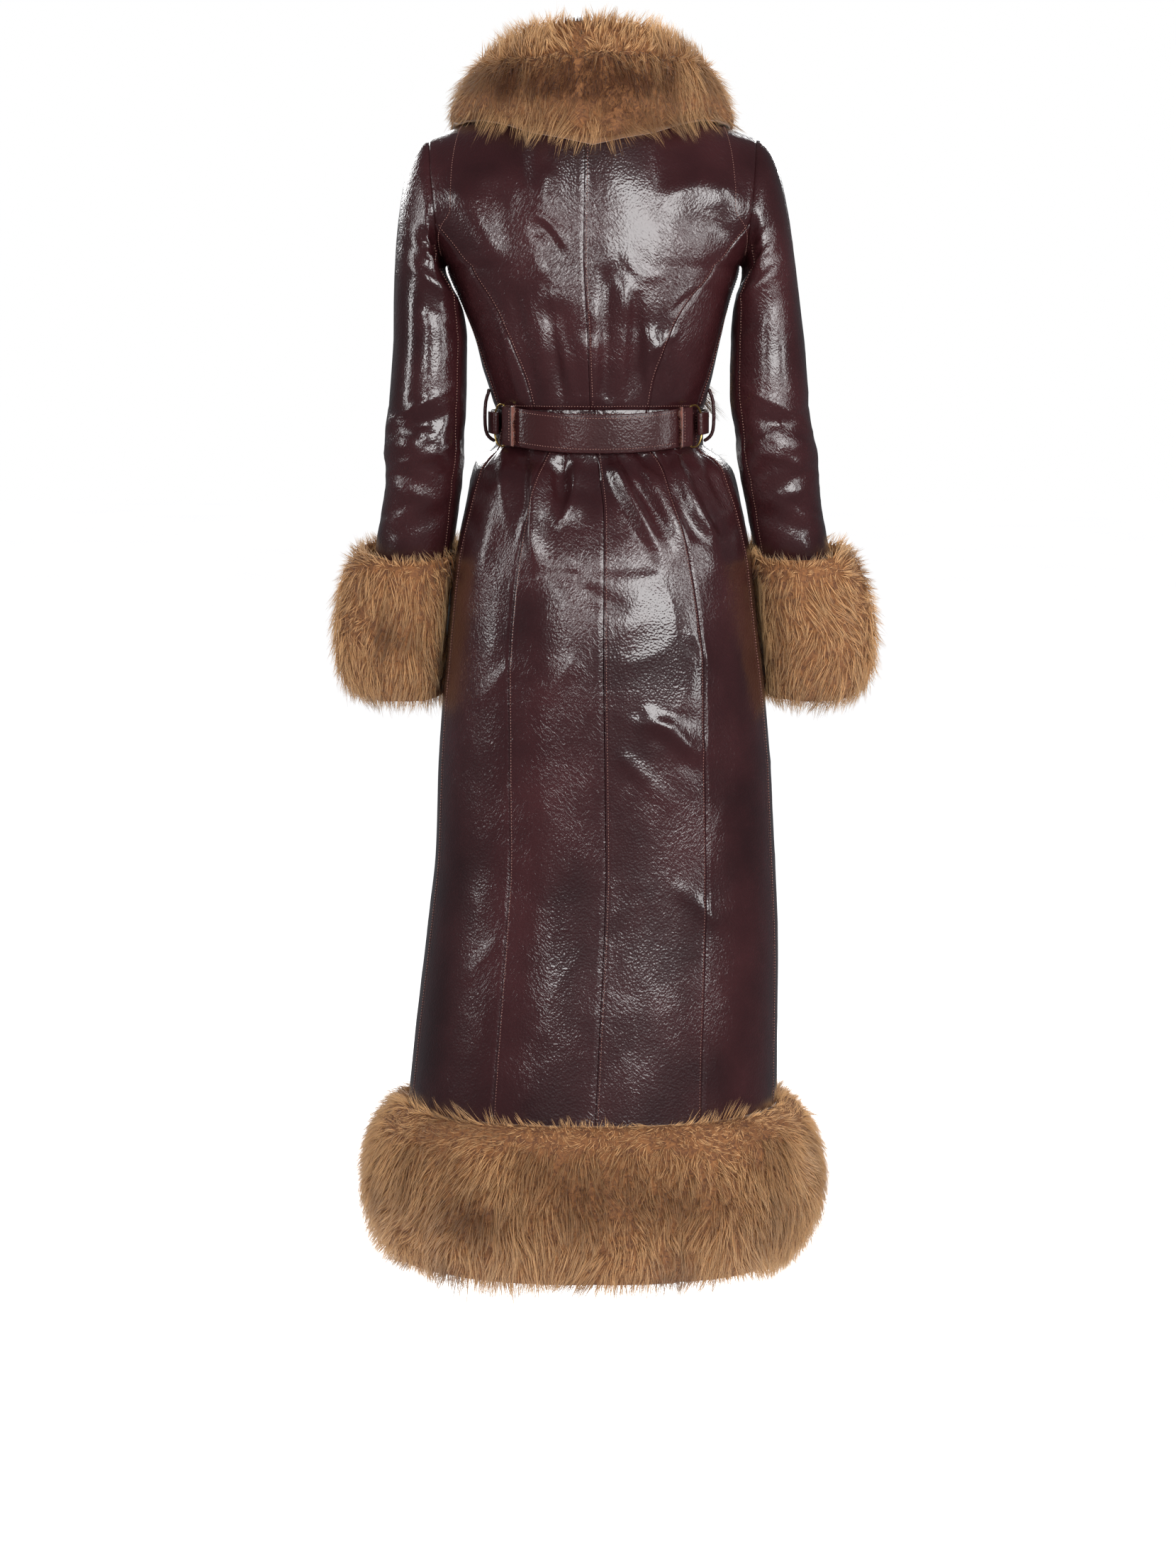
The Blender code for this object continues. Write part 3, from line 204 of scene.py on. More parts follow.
# Creases that the solids leave out: soft ridges and troughs along a bow through three points
Crease = namedtuple("Crease", "x z over_x over_z to_x to_z half_width height")
BACK_CREASES = rows_of(
    Crease,
    # The hooked fold on the left shoulder blade, and the long folds that run from it to the belt
    (0.076, -0.155, 0.060, -0.127, 0.020, -0.178, 0.0050, 0.0026),
    (0.066, -0.158, 0.056, -0.140, 0.036, -0.175, 0.0070, -0.0030),
    (0.066, -0.160, 0.046, -0.236, 0.018, -0.350, 0.0075, 0.0034),
    (0.058, -0.180, 0.048, -0.240, 0.031, -0.345, 0.0060, -0.0034),
    (0.090, -0.200, 0.078, -0.260, 0.060, -0.345, 0.0075, -0.0030),
    (0.100, -0.230, 0.092, -0.280, 0.076, -0.340, 0.0060, 0.0024),
    (0.001, -0.215, 0.000, -0.270, 0.003, -0.345, 0.0060, 0.0024),
    (-0.012, -0.175, -0.012, -0.250, -0.010, -0.345, 0.0070, -0.0038),
    (-0.032, -0.185, -0.031, -0.255, -0.028, -0.345, 0.0070, 0.0034),
    (-0.043, -0.205, -0.047, -0.260, -0.054, -0.345, 0.0065, -0.0034),
    (-0.062, -0.250, -0.074, -0.290, -0.082, -0.335, 0.0060, 0.0022),
    # The shoulder blades' swell
    (-0.066, -0.118, -0.115, -0.092, -0.162, -0.120, 0.0140, 0.0034),
    (-0.090, -0.150, -0.120, -0.135, -0.150, -0.160, 0.0160, -0.0030),
    (0.155, -0.090, 0.130, -0.130, 0.100, -0.190, 0.0130, 0.0026),
    (0.118, -0.080, 0.100, -0.130, 0.085, -0.180, 0.0150, -0.0026),
    (0.050, -0.070, 0.055, -0.100, 0.050, -0.130, 0.0100, 0.0018),
    (-0.030, -0.160, -0.050, -0.190, -0.085, -0.185, 0.0050, 0.0014),
    (-0.120, -0.205, -0.100, -0.215, -0.080, -0.235, 0.0045, -0.0014),
    (-0.092, -0.250, -0.065, -0.268, -0.040, -0.295, 0.0050, 0.0018),
    # The short folds under the belt, as the left side shows them
    (0.052, -0.360, 0.040, -0.452, 0.013, -0.360, 0.0040, 0.0030),
    (0.033, -0.350, 0.034, -0.380, 0.036, -0.412, 0.0070, -0.0040),
    (0.062, -0.395, 0.068, -0.460, 0.058, -0.512, 0.0050, 0.0022),
    (0.080, -0.360, 0.077, -0.400, 0.072, -0.470, 0.0060, -0.0036),
    (0.097, -0.350, 0.098, -0.400, 0.090, -0.480, 0.0070, 0.0036),
    # The slanted folds under the belt on the right
    (-0.012, -0.360, -0.034, -0.418, -0.072, -0.490, 0.0045, 0.0026),
    (-0.026, -0.360, -0.040, -0.402, -0.068, -0.424, 0.0045, 0.0034),
    (-0.042, -0.370, -0.055, -0.392, -0.072, -0.408, 0.0050, -0.0032),
    (-0.040, -0.405, -0.058, -0.438, -0.084, -0.485, 0.0055, -0.0024),
    (-0.080, -0.350, -0.100, -0.428, -0.141, -0.483, 0.0060, 0.0042),
    (-0.082, -0.400, -0.100, -0.452, -0.134, -0.492, 0.0070, -0.0038),
    (-0.066, -0.350, -0.076, -0.380, -0.082, -0.420, 0.0050, -0.0026),
    (-0.110, -0.360, -0.128, -0.410, -0.150, -0.450, 0.0060, -0.0030),
    # The waist seam's arch above the belt
    (0.040, -0.338, 0.006, -0.322, -0.026, -0.338, 0.0032, 0.0016),
    # The skirt's slanted creases lower down
    (-0.046, -0.655, -0.075, -0.672, -0.110, -0.712, 0.0080, 0.0020),
    (-0.054, -0.680, -0.082, -0.698, -0.112, -0.734, 0.0085, -0.0018),
    (-0.020, -0.700, -0.050, -0.725, -0.090, -0.770, 0.0090, 0.0013),
    (-0.095, -0.560, -0.118, -0.600, -0.140, -0.650, 0.0080, 0.0014),
    (0.010, -0.600, 0.040, -0.620, 0.060, -0.660, 0.0090, 0.0012),
    (0.080, -0.600, 0.110, -0.630, 0.140, -0.660, 0.0080, 0.0012),
    (0.100, -0.900, 0.125, -0.930, 0.150, -0.960, 0.0080, 0.0010),
    (-0.080, -0.840, -0.115, -0.870, -0.150, -0.900, 0.0090, 0.0012),
)

# The hollow below the belt, over the small of the back: its outline's (x, z) corners, its depth at the
# top and at the foot, its soft edge, and the heights between which it grows shallow
HOLLOW = (
    (0.057, -0.380), (0.063, -0.448), (0.058, -0.490), (0.048, -0.509), (0.034, -0.518),
    (-0.004, -0.520), (-0.043, -0.518), (-0.068, -0.515), (-0.076, -0.506), (-0.072, -0.484),
    (-0.058, -0.456), (-0.037, -0.421), (-0.012, -0.380),
)
HOLLOW_DEPTH = 0.0085
HOLLOW_FOOT = 0.0012
HOLLOW_EDGE = 0.017
HOLLOW_TOP_Z = -0.375
HOLLOW_LOW_Z = -0.518

# The skirt's swell below the hollow, as heights and rises, and where it ends on the right and left
SWELL_HEIGHTS = (-1.02, -0.900, -0.780, -0.690, -0.640, -0.600, -0.560, -0.525, -0.505)
SWELL_RISES = (0.0, 0.0012, 0.0034, 0.0054, 0.0058, 0.0050, 0.0034, 0.0012, 0.0)
SWELL_ENDS = (-0.150, 0.100)
SWELL_EDGE = 0.050

FRONT_CREASES = rows_of(
    Crease,
    (0.120, -0.170, 0.095, -0.190, 0.070, -0.215, 0.0055, 0.0020),
    (-0.115, -0.180, -0.095, -0.195, -0.075, -0.220, 0.0055, -0.0020),
    (0.100, -0.240, 0.080, -0.290, 0.060, -0.345, 0.0070, 0.0030),
    (0.080, -0.220, 0.066, -0.280, 0.046, -0.345, 0.0070, -0.0030),
    (0.055, -0.260, 0.046, -0.300, 0.030, -0.345, 0.0060, 0.0026),
    (0.012, -0.360, 0.030, -0.420, 0.060, -0.490, 0.0060, 0.0036),
    (0.030, -0.360, 0.045, -0.410, 0.075, -0.450, 0.0060, -0.0034),
    (0.068, -0.355, 0.088, -0.430, 0.112, -0.510, 0.0060, 0.0038),
    (0.090, -0.360, 0.105, -0.410, 0.130, -0.460, 0.0060, -0.0032),
    (0.120, -0.355, 0.128, -0.400, 0.136, -0.470, 0.0060, 0.0030),
    (0.000, -0.400, 0.014, -0.440, 0.030, -0.480, 0.0070, -0.0026),
    (0.010, -0.640, 0.045, -0.665, 0.085, -0.700, 0.0060, -0.0018),
    (0.110, -0.760, 0.090, -0.800, 0.060, -0.840, 0.0060, 0.0017),
    (-0.150, -0.380, -0.152, -0.430, -0.148, -0.490, 0.0060, 0.0026),
)

# The sleeves' rings below the shoulder, one table a side
SleeveRow = namedtuple("SleeveRow", "z out_x y half_width half_depth lean")
LEFT_SLEEVE = rows_of(
    SleeveRow,
    (-0.260, 0.1811, 0.006, 0.0405, 0.055, 0.00),
    (-0.322, 0.1840, 0.010, 0.0425, 0.052, 0.04),
    (-0.354, 0.1863, 0.010, 0.0438, 0.050, 0.10),
    (-0.385, 0.1885, 0.007, 0.0440, 0.049, 0.16),
    (-0.417, 0.1893, 0.002, 0.0418, 0.047, 0.20),
    (-0.448, 0.1934, -0.005, 0.0424, 0.046, 0.23),
    (-0.480, 0.1985, -0.012, 0.0430, 0.046, 0.25),
    (-0.512, 0.2030, -0.020, 0.0435, 0.046, 0.26),
    (-0.575, 0.2083, -0.034, 0.0435, 0.046, 0.26),
    (-0.670, 0.2120, -0.050, 0.0435, 0.046, 0.26),
)
RIGHT_SLEEVE = rows_of(
    SleeveRow,
    (-0.260, 0.1890, 0.006, 0.0405, 0.055, 0.00),
    (-0.322, 0.1908, 0.010, 0.0432, 0.052, 0.04),
    (-0.354, 0.1948, 0.010, 0.0430, 0.050, 0.10),
    (-0.385, 0.2005, 0.007, 0.0445, 0.049, 0.16),
    (-0.417, 0.2040, 0.002, 0.0425, 0.047, 0.20),
    (-0.448, 0.2090, -0.005, 0.0415, 0.046, 0.23),
    (-0.480, 0.2155, -0.012, 0.0415, 0.046, 0.25),
    (-0.512, 0.2225, -0.020, 0.0425, 0.046, 0.26),
    (-0.575, 0.2319, -0.034, 0.0430, 0.046, 0.26),
    (-0.670, 0.2360, -0.050, 0.0430, 0.046, 0.26),
)

# Sleeve folds across the arm. The angle runs from the inner side over the back.
SleeveFold = namedtuple("SleeveFold", "z angle rise spread half_height height")
SLEEVE_FOLDS = rows_of(
    SleeveFold,
    (-0.175, 45.0, 0.020, 40.0, 0.010, -0.0050),
    (-0.205, 60.0, 0.015, 45.0, 0.012, 0.0040),
    (-0.352, 105.0, -0.012, 55.0, 0.009, -0.0040),
    (-0.378, 95.0, 0.010, 60.0, 0.010, 0.0035),
    (-0.408, 120.0, 0.010, 55.0, 0.010, -0.0040),
    (-0.370, 285.0, 0.008, 60.0, 0.012, -0.0050),
    (-0.400, 270.0, -0.010, 60.0, 0.011, 0.0040),
    (-0.455, 80.0, -0.014, 50.0, 0.012, -0.0030),
)
SLEEVE_CREASES = rows_of(
    SleeveFold,
    (-0.150, 60.0, 0.012, 40.0, 0.0040, -0.0024),
    (-0.168, 75.0, 0.016, 35.0, 0.0045, 0.0026),
    (-0.190, 90.0, 0.022, 50.0, 0.0045, 0.0022),
    (-0.232, 80.0, 0.018, 45.0, 0.0045, -0.0020),
    (-0.330, 100.0, -0.016, 45.0, 0.0040, 0.0026),
    (-0.343, 130.0, 0.010, 40.0, 0.0040, -0.0026),
    (-0.365, 80.0, 0.014, 45.0, 0.0040, 0.0028),
    (-0.392, 110.0, -0.012, 50.0, 0.0042, 0.0028),
    (-0.402, 70.0, 0.012, 35.0, 0.0040, -0.0026),
    (-0.428, 100.0, 0.014, 45.0, 0.0042, 0.0022),
    (-0.445, 130.0, -0.010, 40.0, 0.0040, -0.0020),
    (-0.385, 300.0, 0.012, 50.0, 0.0040, -0.0024),
    (-0.415, 265.0, -0.010, 50.0, 0.0040, 0.0022),
)

# The share of the armhole's height at even steps of angle, from the armpit to the shoulder
ARM_SHARES = (0.0, 0.04, 0.10, 0.18, 0.28, 0.40, 0.52, 0.64, 0.76, 0.88, 1.0)


def columns_of(table):
    """A table's columns by name, in rising order of the first one."""
    rows = sorted(table)
    return {name: np.array([getattr(row, name) for row in rows], float) for name in rows[0]._fields}


TABLES = {
    "body": columns_of(BODY),
    "bodice": columns_of(BODICE_SEAMS),
    "skirt": columns_of(SKIRT_SEAMS),
    "front": columns_of(FRONT_EDGES),
    1: columns_of(LEFT_SLEEVE),
    -1: columns_of(RIGHT_SLEEVE),
}


def read(table, column, place):
    """A column's value at places on a smooth curve through its rows that never overshoots them."""
    columns = TABLES[table]
    places, values = next(iter(columns.values())), columns[column]
    place = np.clip(place, places[0], places[-1])
    i = np.clip(np.searchsorted(places, place) - 1, 0, len(places) - 2)
    steps = np.diff(places)
    rises = np.diff(values) / steps
    before, after = rises[:-1], rises[1:]
    both = np.where(before * after > 0, before + after, 1.0)
    turning = np.where(before * after > 0, 2 * before * after / both, 0.0)
    slopes = np.concatenate(([rises[0]], turning, [rises[-1]]))
    t = (place - places[i]) / steps[i]
    ends = values[i] * (1 + 2 * t) * (1 - t) ** 2 + values[i + 1] * t * t * (3 - 2 * t)
    bend = slopes[i] * t * (1 - t) ** 2 - slopes[i + 1] * t * t * (1 - t)
    return ends + bend * steps[i]


def smoothstep(t):
    """A soft step from 0 to 1."""
    t = np.clip(t, 0.0, 1.0)
    return t * t * (3 - 2 * t)


def faded(t, first, last, end=1.0):
    """Rises from 0 over the first share of the way and falls back to 0 over the last."""
    return smoothstep(t / first) * smoothstep((end - t) / last)


def bell(distance, reach):
    """A soft swell: 1 in the middle, and faded past its reach."""
    return np.exp(-((distance / reach) ** 2))


def stacked(x, y, z):
    """Points from their three coordinates."""
    return np.stack(np.broadcast_arrays(x, y, z), -1).astype(float)


def unit(vectors):
    """Directions, each one long."""
    return vectors / np.maximum(np.linalg.norm(vectors, axis=-1, keepdims=True), 1e-12)


def in_front(angle):
    """Whether angles of the ring lie on the coat's front."""
    return (angle % 360 > 90) & (angle % 360 < 270)


def share_of(angle):
    """How far out angles of the ring lie, and how deep, each as a share from -1 to 1."""
    across, along = np.sin(np.radians(angle)), np.cos(np.radians(angle))
    power = 2 / ROUNDNESS
    return np.sign(across) * abs(across) ** power, np.sign(along) * abs(along) ** power


def angle_of(share):
    """The ring's angles behind, from how far out they lie."""
    return np.degrees(np.arcsin(np.sign(share) * np.minimum(abs(share), 1.0) ** (ROUNDNESS / 2)))


def body_depth(behind, z):
    """The body's half depths at heights, behind or in front."""
    return np.where(behind, read("body", "back", z), read("body", "front", z))


def ring_point(angle, z):
    """Points of the body's ring at heights. The angle runs from the middle of the back to the left."""
    across, along = share_of(angle)
    x = read("body", "middle_x", z) + across * read("body", "half_width", z)
    return stacked(x, along * body_depth(along > 0, z), z)


def yoke_point(angle, height):
    """Points above the armpit: a quarter arch from the armpit's ring to the shoulder and neck."""
    across, along = share_of(angle)
    facing = np.where(along > 0, 1.0, -1.0)
    lift, level = np.sin(height * math.pi / 2), np.cos(height * math.pi / 2)
    low_x = read("body", "middle_x", ARMPIT_Z) + across * read("body", "half_width", ARMPIT_Z)
    top_x = SHOULDER_X + SHOULDER_HALF * across
    out = abs(SHOULDER_HALF * across)
    round_neck = np.clip(1 - (out / NECK_HALF) ** 2, 0.0, 1.0)
    top_y = SHOULDER_Y + facing * (NECK_DEPTH - facing * SHOULDER_Y) * np.sqrt(round_neck)
    top_z = np.where(
        out < NECK_HALF,
        NECK_RISE * round_neck * np.where(facing > 0, 1.0, -2.0),
        -SHOULDER_SLOPE * (out - NECK_HALF),
    )
    depth = body_depth(facing > 0, ARMPIT_Z)
    flat = abs(along) ** (1 + np.minimum(1.0, 4 * height))
    opened = np.sin(np.clip(height / ARMHOLE_START, 0.0, 1.0) * math.pi / 2) ** 0.8
    y = facing * level * depth * (flat + ARMHOLE_SHARE * opened * (1 - flat)) + (1 - level) * top_y
    x = low_x + (top_x - low_x) * np.sqrt(np.maximum(lift, 0.0))
    return stacked(x, y, ARMPIT_Z + (top_z - ARMPIT_Z) * lift)


def bare_body(angle, height):
    """The body without folds. The height is 0 at the armpit: metres below it, and shares above it."""
    angle, height = np.broadcast_arrays(np.asarray(angle, float), np.asarray(height, float))
    low = ring_point(angle, ARMPIT_Z + np.minimum(height, 0.0))
    high = yoke_point(angle, np.maximum(height, 0.0))
    return np.where(height[..., None] <= 0, low, high)


def body_normal(angle, height):
    """The outward normals. Near the armhole's edge they are read just inside the edge."""
    angle, height = np.broadcast_arrays(np.asarray(angle, float), np.asarray(height, float))
    nearest = np.round(angle / 90.0)
    quarter = 90.0 * nearest
    at_edge = (height > 0) & (nearest % 2 == 1) & (abs(angle - quarter) < 1.5)
    angle = np.where(at_edge, quarter + np.where(angle >= quarter, 1.5, -1.5), angle)
    height = np.where(height > 0, np.clip(height, 0.012, 0.985), height)
    step = np.where(height > 0, 0.006, 0.0015)
    around = bare_body(angle + 0.5, height) - bare_body(angle - 0.5, height)
    upwards = bare_body(angle, height + step) - bare_body(angle, height - step)
    normal = unit(np.cross(around, upwards))
    outward = stacked(np.sin(np.radians(angle)), np.cos(np.radians(angle)), np.maximum(height, 0.0))
    return normal * np.where((normal * outward).sum(-1) > 0, 1.0, -1.0)[..., None]


def fold_height(x, z, front):
    """The large folds' displacement at places on the body."""
    total = np.zeros(np.broadcast(x, z).shape)
    half_width, middle = read("body", "half_width", z), read("body", "middle_x", z)
    for folds, chosen in ((FRONT_FOLDS, front), (BACK_FOLDS, ~front)):
        for fold in folds:
            t = (fold.top_z - z) / (fold.top_z - fold.foot_z)
            share = fold.top_share + (fold.foot_share - fold.top_share) * np.clip(t, 0, 1)
            aside = x - middle - share * half_width
            swell = faded(t, 0.2, 0.45) * bell(aside, fold.half_width)
            total += np.where(chosen, fold.height * swell, 0.0)
    return total


# Large numbers that scatter the noise's values, and how far a seed moves it
SCATTER = np.array((73856093, 19349663, 83492791))
SCATTER_AGAIN = 1274126177
SEED_SHIFT = 17.31


def noise_at(points, size, seed):
    """Smooth noise from 0 to 1 with lumps of that size."""
    place = points / size + seed * SEED_SHIFT
    cell = np.floor(place).astype(np.int64)
    t = place - cell
    t = t * t * (3 - 2 * t)
    total = np.zeros(points.shape[:-1])
    for corner in itertools.product((0, 1), repeat=3):
        parts = (cell + np.array(corner)) * SCATTER
        mixed = parts[..., 0] ^ parts[..., 1] ^ parts[..., 2]
        mixed = (mixed ^ (mixed >> 13)) * SCATTER_AGAIN
        value = ((mixed ^ (mixed >> 16)) & 0xFFFF) / 0xFFFF
        total += value * np.prod(np.where(np.array(corner), t, 1 - t), -1)
    return total


def crumple(points, size, seed, stretch=(1.0, 1.0, 1.0)):
    """Thin crisp ridges between smooth hollows, about zero on average, from -0.3 to 0.7."""
    stretched = points * np.array(stretch)
    drift = stacked(*(noise_at(stretched, size * 1.7, seed + k) for k in (1, 2, 3))) - 0.5
    value = noise_at(stretched + drift * size * 0.9, size, seed)
    return (1 - abs(2 * value - 1)) ** 4 - 0.2


def bow_points(crease):
    """Points along a crease's bow, which passes through its middle point."""
    start, end = np.array((crease.x, crease.z)), np.array((crease.to_x, crease.to_z))
    handle = 2 * np.array((crease.over_x, crease.over_z)) - (start + end) / 2
    t = np.linspace(0, 1, 11)[:, None]
    return start * (1 - t) ** 2 + handle * 2 * t * (1 - t) + end * t * t


def crease_height(x, z, front):
    """The creases' displacement at places on the body."""
    x, z, front = (np.asarray(part).ravel() for part in np.broadcast_arrays(x, z, front))
    total = np.zeros(len(x))
    for creases, side in ((FRONT_CREASES, True), (BACK_CREASES, False)):
        for crease in creases:
            bow = bow_points(crease)
            reach = 3 * crease.half_width
            near = (front == side) & (x > bow[:, 0].min() - reach) & (x < bow[:, 0].max() + reach)
            near = np.nonzero(near & (z > bow[:, 1].min() - reach) & (z < bow[:, 1].max() + reach))[0]
            if not len(near):
                continue
            place = np.stack([x[near], z[near]], -1)[:, None]
            run = bow[1:] - bow[:-1]
            share = ((place - bow[:-1]) * run).sum(-1) / (run * run).sum(-1)
            share = np.clip(share, 0, 1)
            away = np.linalg.norm(place - bow[:-1] - run * share[..., None], axis=-1)
            closest = away.argmin(1)
            rows = np.arange(len(near))
            t = (closest + share[rows, closest]) / len(run)
            swell = faded(t, 0.22, 0.30) * bell(away[rows, closest], crease.half_width)
            total[near] += crease.height * swell
    return total


def hollow_depth(x, z):
    """How deep the hollow under the belt lies at places of the back, and below it the swell."""
    corners = np.array(HOLLOW)
    place = np.stack([x, z], -1)[..., None, :]
    run = np.roll(corners, -1, 0) - corners
    share = np.clip(((place - corners) * run).sum(-1) / (run * run).sum(-1), 0, 1)
    away = np.linalg.norm(place - corners - run * share[..., None], axis=-1).min(-1)
    level = (z[..., None] > corners[:, 1]) != (z[..., None] > np.roll(corners[:, 1], -1))
    rise = np.where(abs(run[:, 1]) < 1e-9, 1e-9, run[:, 1])
    crossing = corners[:, 0] + (z[..., None] - corners[:, 1]) / rise * run[:, 0]
    inside = (level & (x[..., None] < crossing)).sum(-1) % 2 == 1
    below = HOLLOW_TOP_Z - z
    shallower = np.clip((z - HOLLOW_LOW_Z) / 0.100, 0, 1)
    depth = HOLLOW_FOOT + HOLLOW_DEPTH * smoothstep(below / 0.045) * shallower
    hollow = depth * smoothstep(below / 0.020) * smoothstep(away / HOLLOW_EDGE) * inside
    swell = np.interp(z, SWELL_HEIGHTS, SWELL_RISES)
    right, left = SWELL_ENDS
    return hollow - swell * smoothstep((x - right) / SWELL_EDGE) * smoothstep((left - x) / SWELL_EDGE)


def wrinkled(points, angle, settings):
    """Crumpling of the body's leather: strongest at the waist and on the skirt's right back."""
    x, z = points[..., 0], points[..., 2]
    front = in_front(angle)
    waist = bell(z - WAIST_Z, 0.085)
    right_skirt = smoothstep(-x / 0.06) * smoothstep((-0.38 - z) / 0.08) * smoothstep((z + 0.98) / 0.25)
    chest = 0.35 * bell(z + 0.17, 0.09)
    amount = 0.30 + 0.9 * waist + 0.55 * np.where(front, 0.5, right_skirt) + chest
    upright = crumple(points, 0.034, 3, (1.0, 1.0, 0.55))
    slanted = crumple(points + points[..., [2, 0, 1]] * 0.35, 0.060, 11)
    fine = crumple(points, 0.017, 23, (1.0, 1.0, 0.7))
    total = (0.45 * upright + 0.85 * slanted + 0.25 * fine * waist) * amount
    swell = (noise_at(points, 0.11, 31) - 0.5) * 1.6
    lift = settings.crumple * (total + swell) + crease_height(x, z, front).reshape(x.shape)
    return lift - np.where(front, 0.0, hollow_depth(x, z))


def body_surface(angle, height, settings, out=0.0):
    """Points of the dressed leather, with its folds, creases and crumpling, and their normals."""
    points = bare_body(angle, height)
    normals = body_normal(angle, height)
    lift = out + fold_height(points[..., 0], points[..., 2], in_front(angle))
    lift = lift + wrinkled(points, angle, settings)
    return points + normals * lift[..., None], normals


def sleeve_ring(side, angle, z):
    """Points of the sleeve's ring. The angle runs from the inner side over the back."""
    turned = np.radians(angle)
    x = read(side, "out_x", z) - np.cos(turned) * read(side, "half_width", z)
    back = np.sin(turned) * read(side, "half_depth", z)
    return stacked(side * x, read(side, "y", z) + back, z - read(side, "lean", z) * back)


def arm_share(angle):
    """The share of the armhole's height at a sleeve angle."""
    turned = abs((angle + 180) % 360 - 180)
    return np.interp(turned / 180 * (len(ARM_SHARES) - 1), range(len(ARM_SHARES)), ARM_SHARES)


def towards_top(angle):
    """From 0 at the sleeve's inner side to 1 at its outer one."""
    return (1 - np.cos(np.radians(angle))) / 2


def sleeve_head(side, angle, t):
    """The sleeve's head: a curve from the armhole's edge, outwards and down to the first ring."""
    top = towards_top(angle)
    lifted = np.radians(80 * np.maximum(0.0, 1 - 4 * top))
    back = np.sin(np.radians(angle)) >= 0
    start = yoke_point(side * np.where(back, BACK_EDGE, 180 - BACK_EDGE), arm_share(angle))
    start = start + ARMHOLE_GAP * stacked(side * np.cos(lifted), 0.0, np.sin(lifted))
    end = sleeve_ring(side, angle, np.full(np.shape(angle), SLEEVE_RING_Z))
    drop = 0.045 + 0.070 * top
    leave = start + stacked(side * (0.010 + 0.022 * top), 0.0, -0.010 * top)
    arrive = end + stacked(-side * SLEEVE_FLARE[side] * drop * top, 0.0, drop)
    t = np.asarray(t)[..., None]
    curve = ((1 - t) ** 3, 3 * t * (1 - t) ** 2, 3 * t * t * (1 - t), t**3)
    return sum(weight * point for weight, point in zip(curve, (start, leave, arrive, end)))


def bare_sleeve(side, angle, u):
    """The sleeve without folds: u runs 0 to 1 down the head, and 1 to 2 down to the wrist."""
    head = sleeve_head(side, angle, np.clip(u, 0.0, 1.0))
    z = SLEEVE_RING_Z + (SLEEVE_END_Z - SLEEVE_RING_Z) * (np.maximum(u, 1.0) - 1)
    arm = sleeve_ring(side, angle, z)
    return np.where((u <= 1)[..., None], head, arm)


def sleeve_normal(side, angle, u):
    """The outward normals. At the armhole's edge they turn towards the body's."""
    inside = np.maximum(u, 0.02)
    around = bare_sleeve(side, angle + 2, inside) - bare_sleeve(side, angle - 2, inside)
    down = bare_sleeve(side, angle, inside + 0.012) - bare_sleeve(side, angle, inside - 0.012)
    own = unit(side * np.cross(around, down))
    back = np.sin(np.radians(angle)) >= 0
    body = body_normal(side * np.where(back, 89.0, 91.0), arm_share(angle))
    inner = np.maximum(0.0, 1 - 4 * towards_top(angle))[..., None]
    at_edge = unit(own * inner + body)
    weight = 1 - smoothstep(u / 0.10)
    return unit(own * (1 - weight)[..., None] + at_edge * weight[..., None])


def sleeve_surface(side, angle, u, settings, out=0.0):
    """Points of a dressed sleeve and their normals."""
    angle, u = np.broadcast_arrays(np.asarray(angle, float), np.asarray(u, float))
    points = bare_sleeve(side, angle, u)
    normals = sleeve_normal(side, angle, u)
    height = np.zeros(u.shape)
    z = points[..., 2]
    for fold in SLEEVE_FOLDS + SLEEVE_CREASES:
        away = (angle - fold.angle + 180) % 360 - 180
        middle = fold.z + fold.rise * away / fold.spread
        depth = ((z - middle) / fold.half_height) ** 2
        height += fold.height * np.exp(-depth - (away / fold.spread) ** 2)
    elbow = bell(z - ELBOW_Z, 0.055)
    armpit = bell(z - ARMPIT_Z + 0.005, 0.060) * np.maximum(np.cos(np.radians(angle)), 0)
    amount = 0.35 + 1.0 * elbow + 0.9 * armpit
    across = crumple(points, 0.026, 41 + side, (0.7, 0.7, 1.3))
    slanted = crumple(points + points[..., [2, 0, 1]] * 0.4, 0.045, 51 + side)
    height += settings.crumple * amount * (0.55 * across + 0.75 * slanted)
    height += settings.crumple * 1.4 * (noise_at(points, 0.10, 61) - 0.5)
    height *= faded(u, 0.25, 0.12, 2)
    return points + normals * (out + height)[..., None], normals


# Mesh helpers


def mesh_of(name, points, triangles):
    """A mesh object from arrays of points and triangles."""
    mesh = bpy.data.meshes.new(name)
    mesh.vertices.add(len(points))
    mesh.vertices.foreach_set("co", np.asarray(points, np.float32).ravel())
    mesh.loops.add(len(triangles) * 3)
    mesh.loops.foreach_set("vertex_index", np.asarray(triangles, np.int32).ravel())
    mesh.polygons.add(len(triangles))
    mesh.polygons.foreach_set("loop_start", np.arange(0, len(triangles) * 3, 3, dtype=np.int32))
    mesh.update(calc_edges=True)
    return linked(name, mesh)


def linked(name, mesh):
    """A new object for a mesh."""
    made = bpy.data.objects.new(name, mesh)
    bpy.context.scene.collection.objects.link(made)
    return made


def select_only(piece):
    """Makes a piece the only one that an operator acts on."""
    bpy.ops.object.select_all(action="DESELECT")
    bpy.context.view_layer.objects.active = piece
    piece.select_set(True)


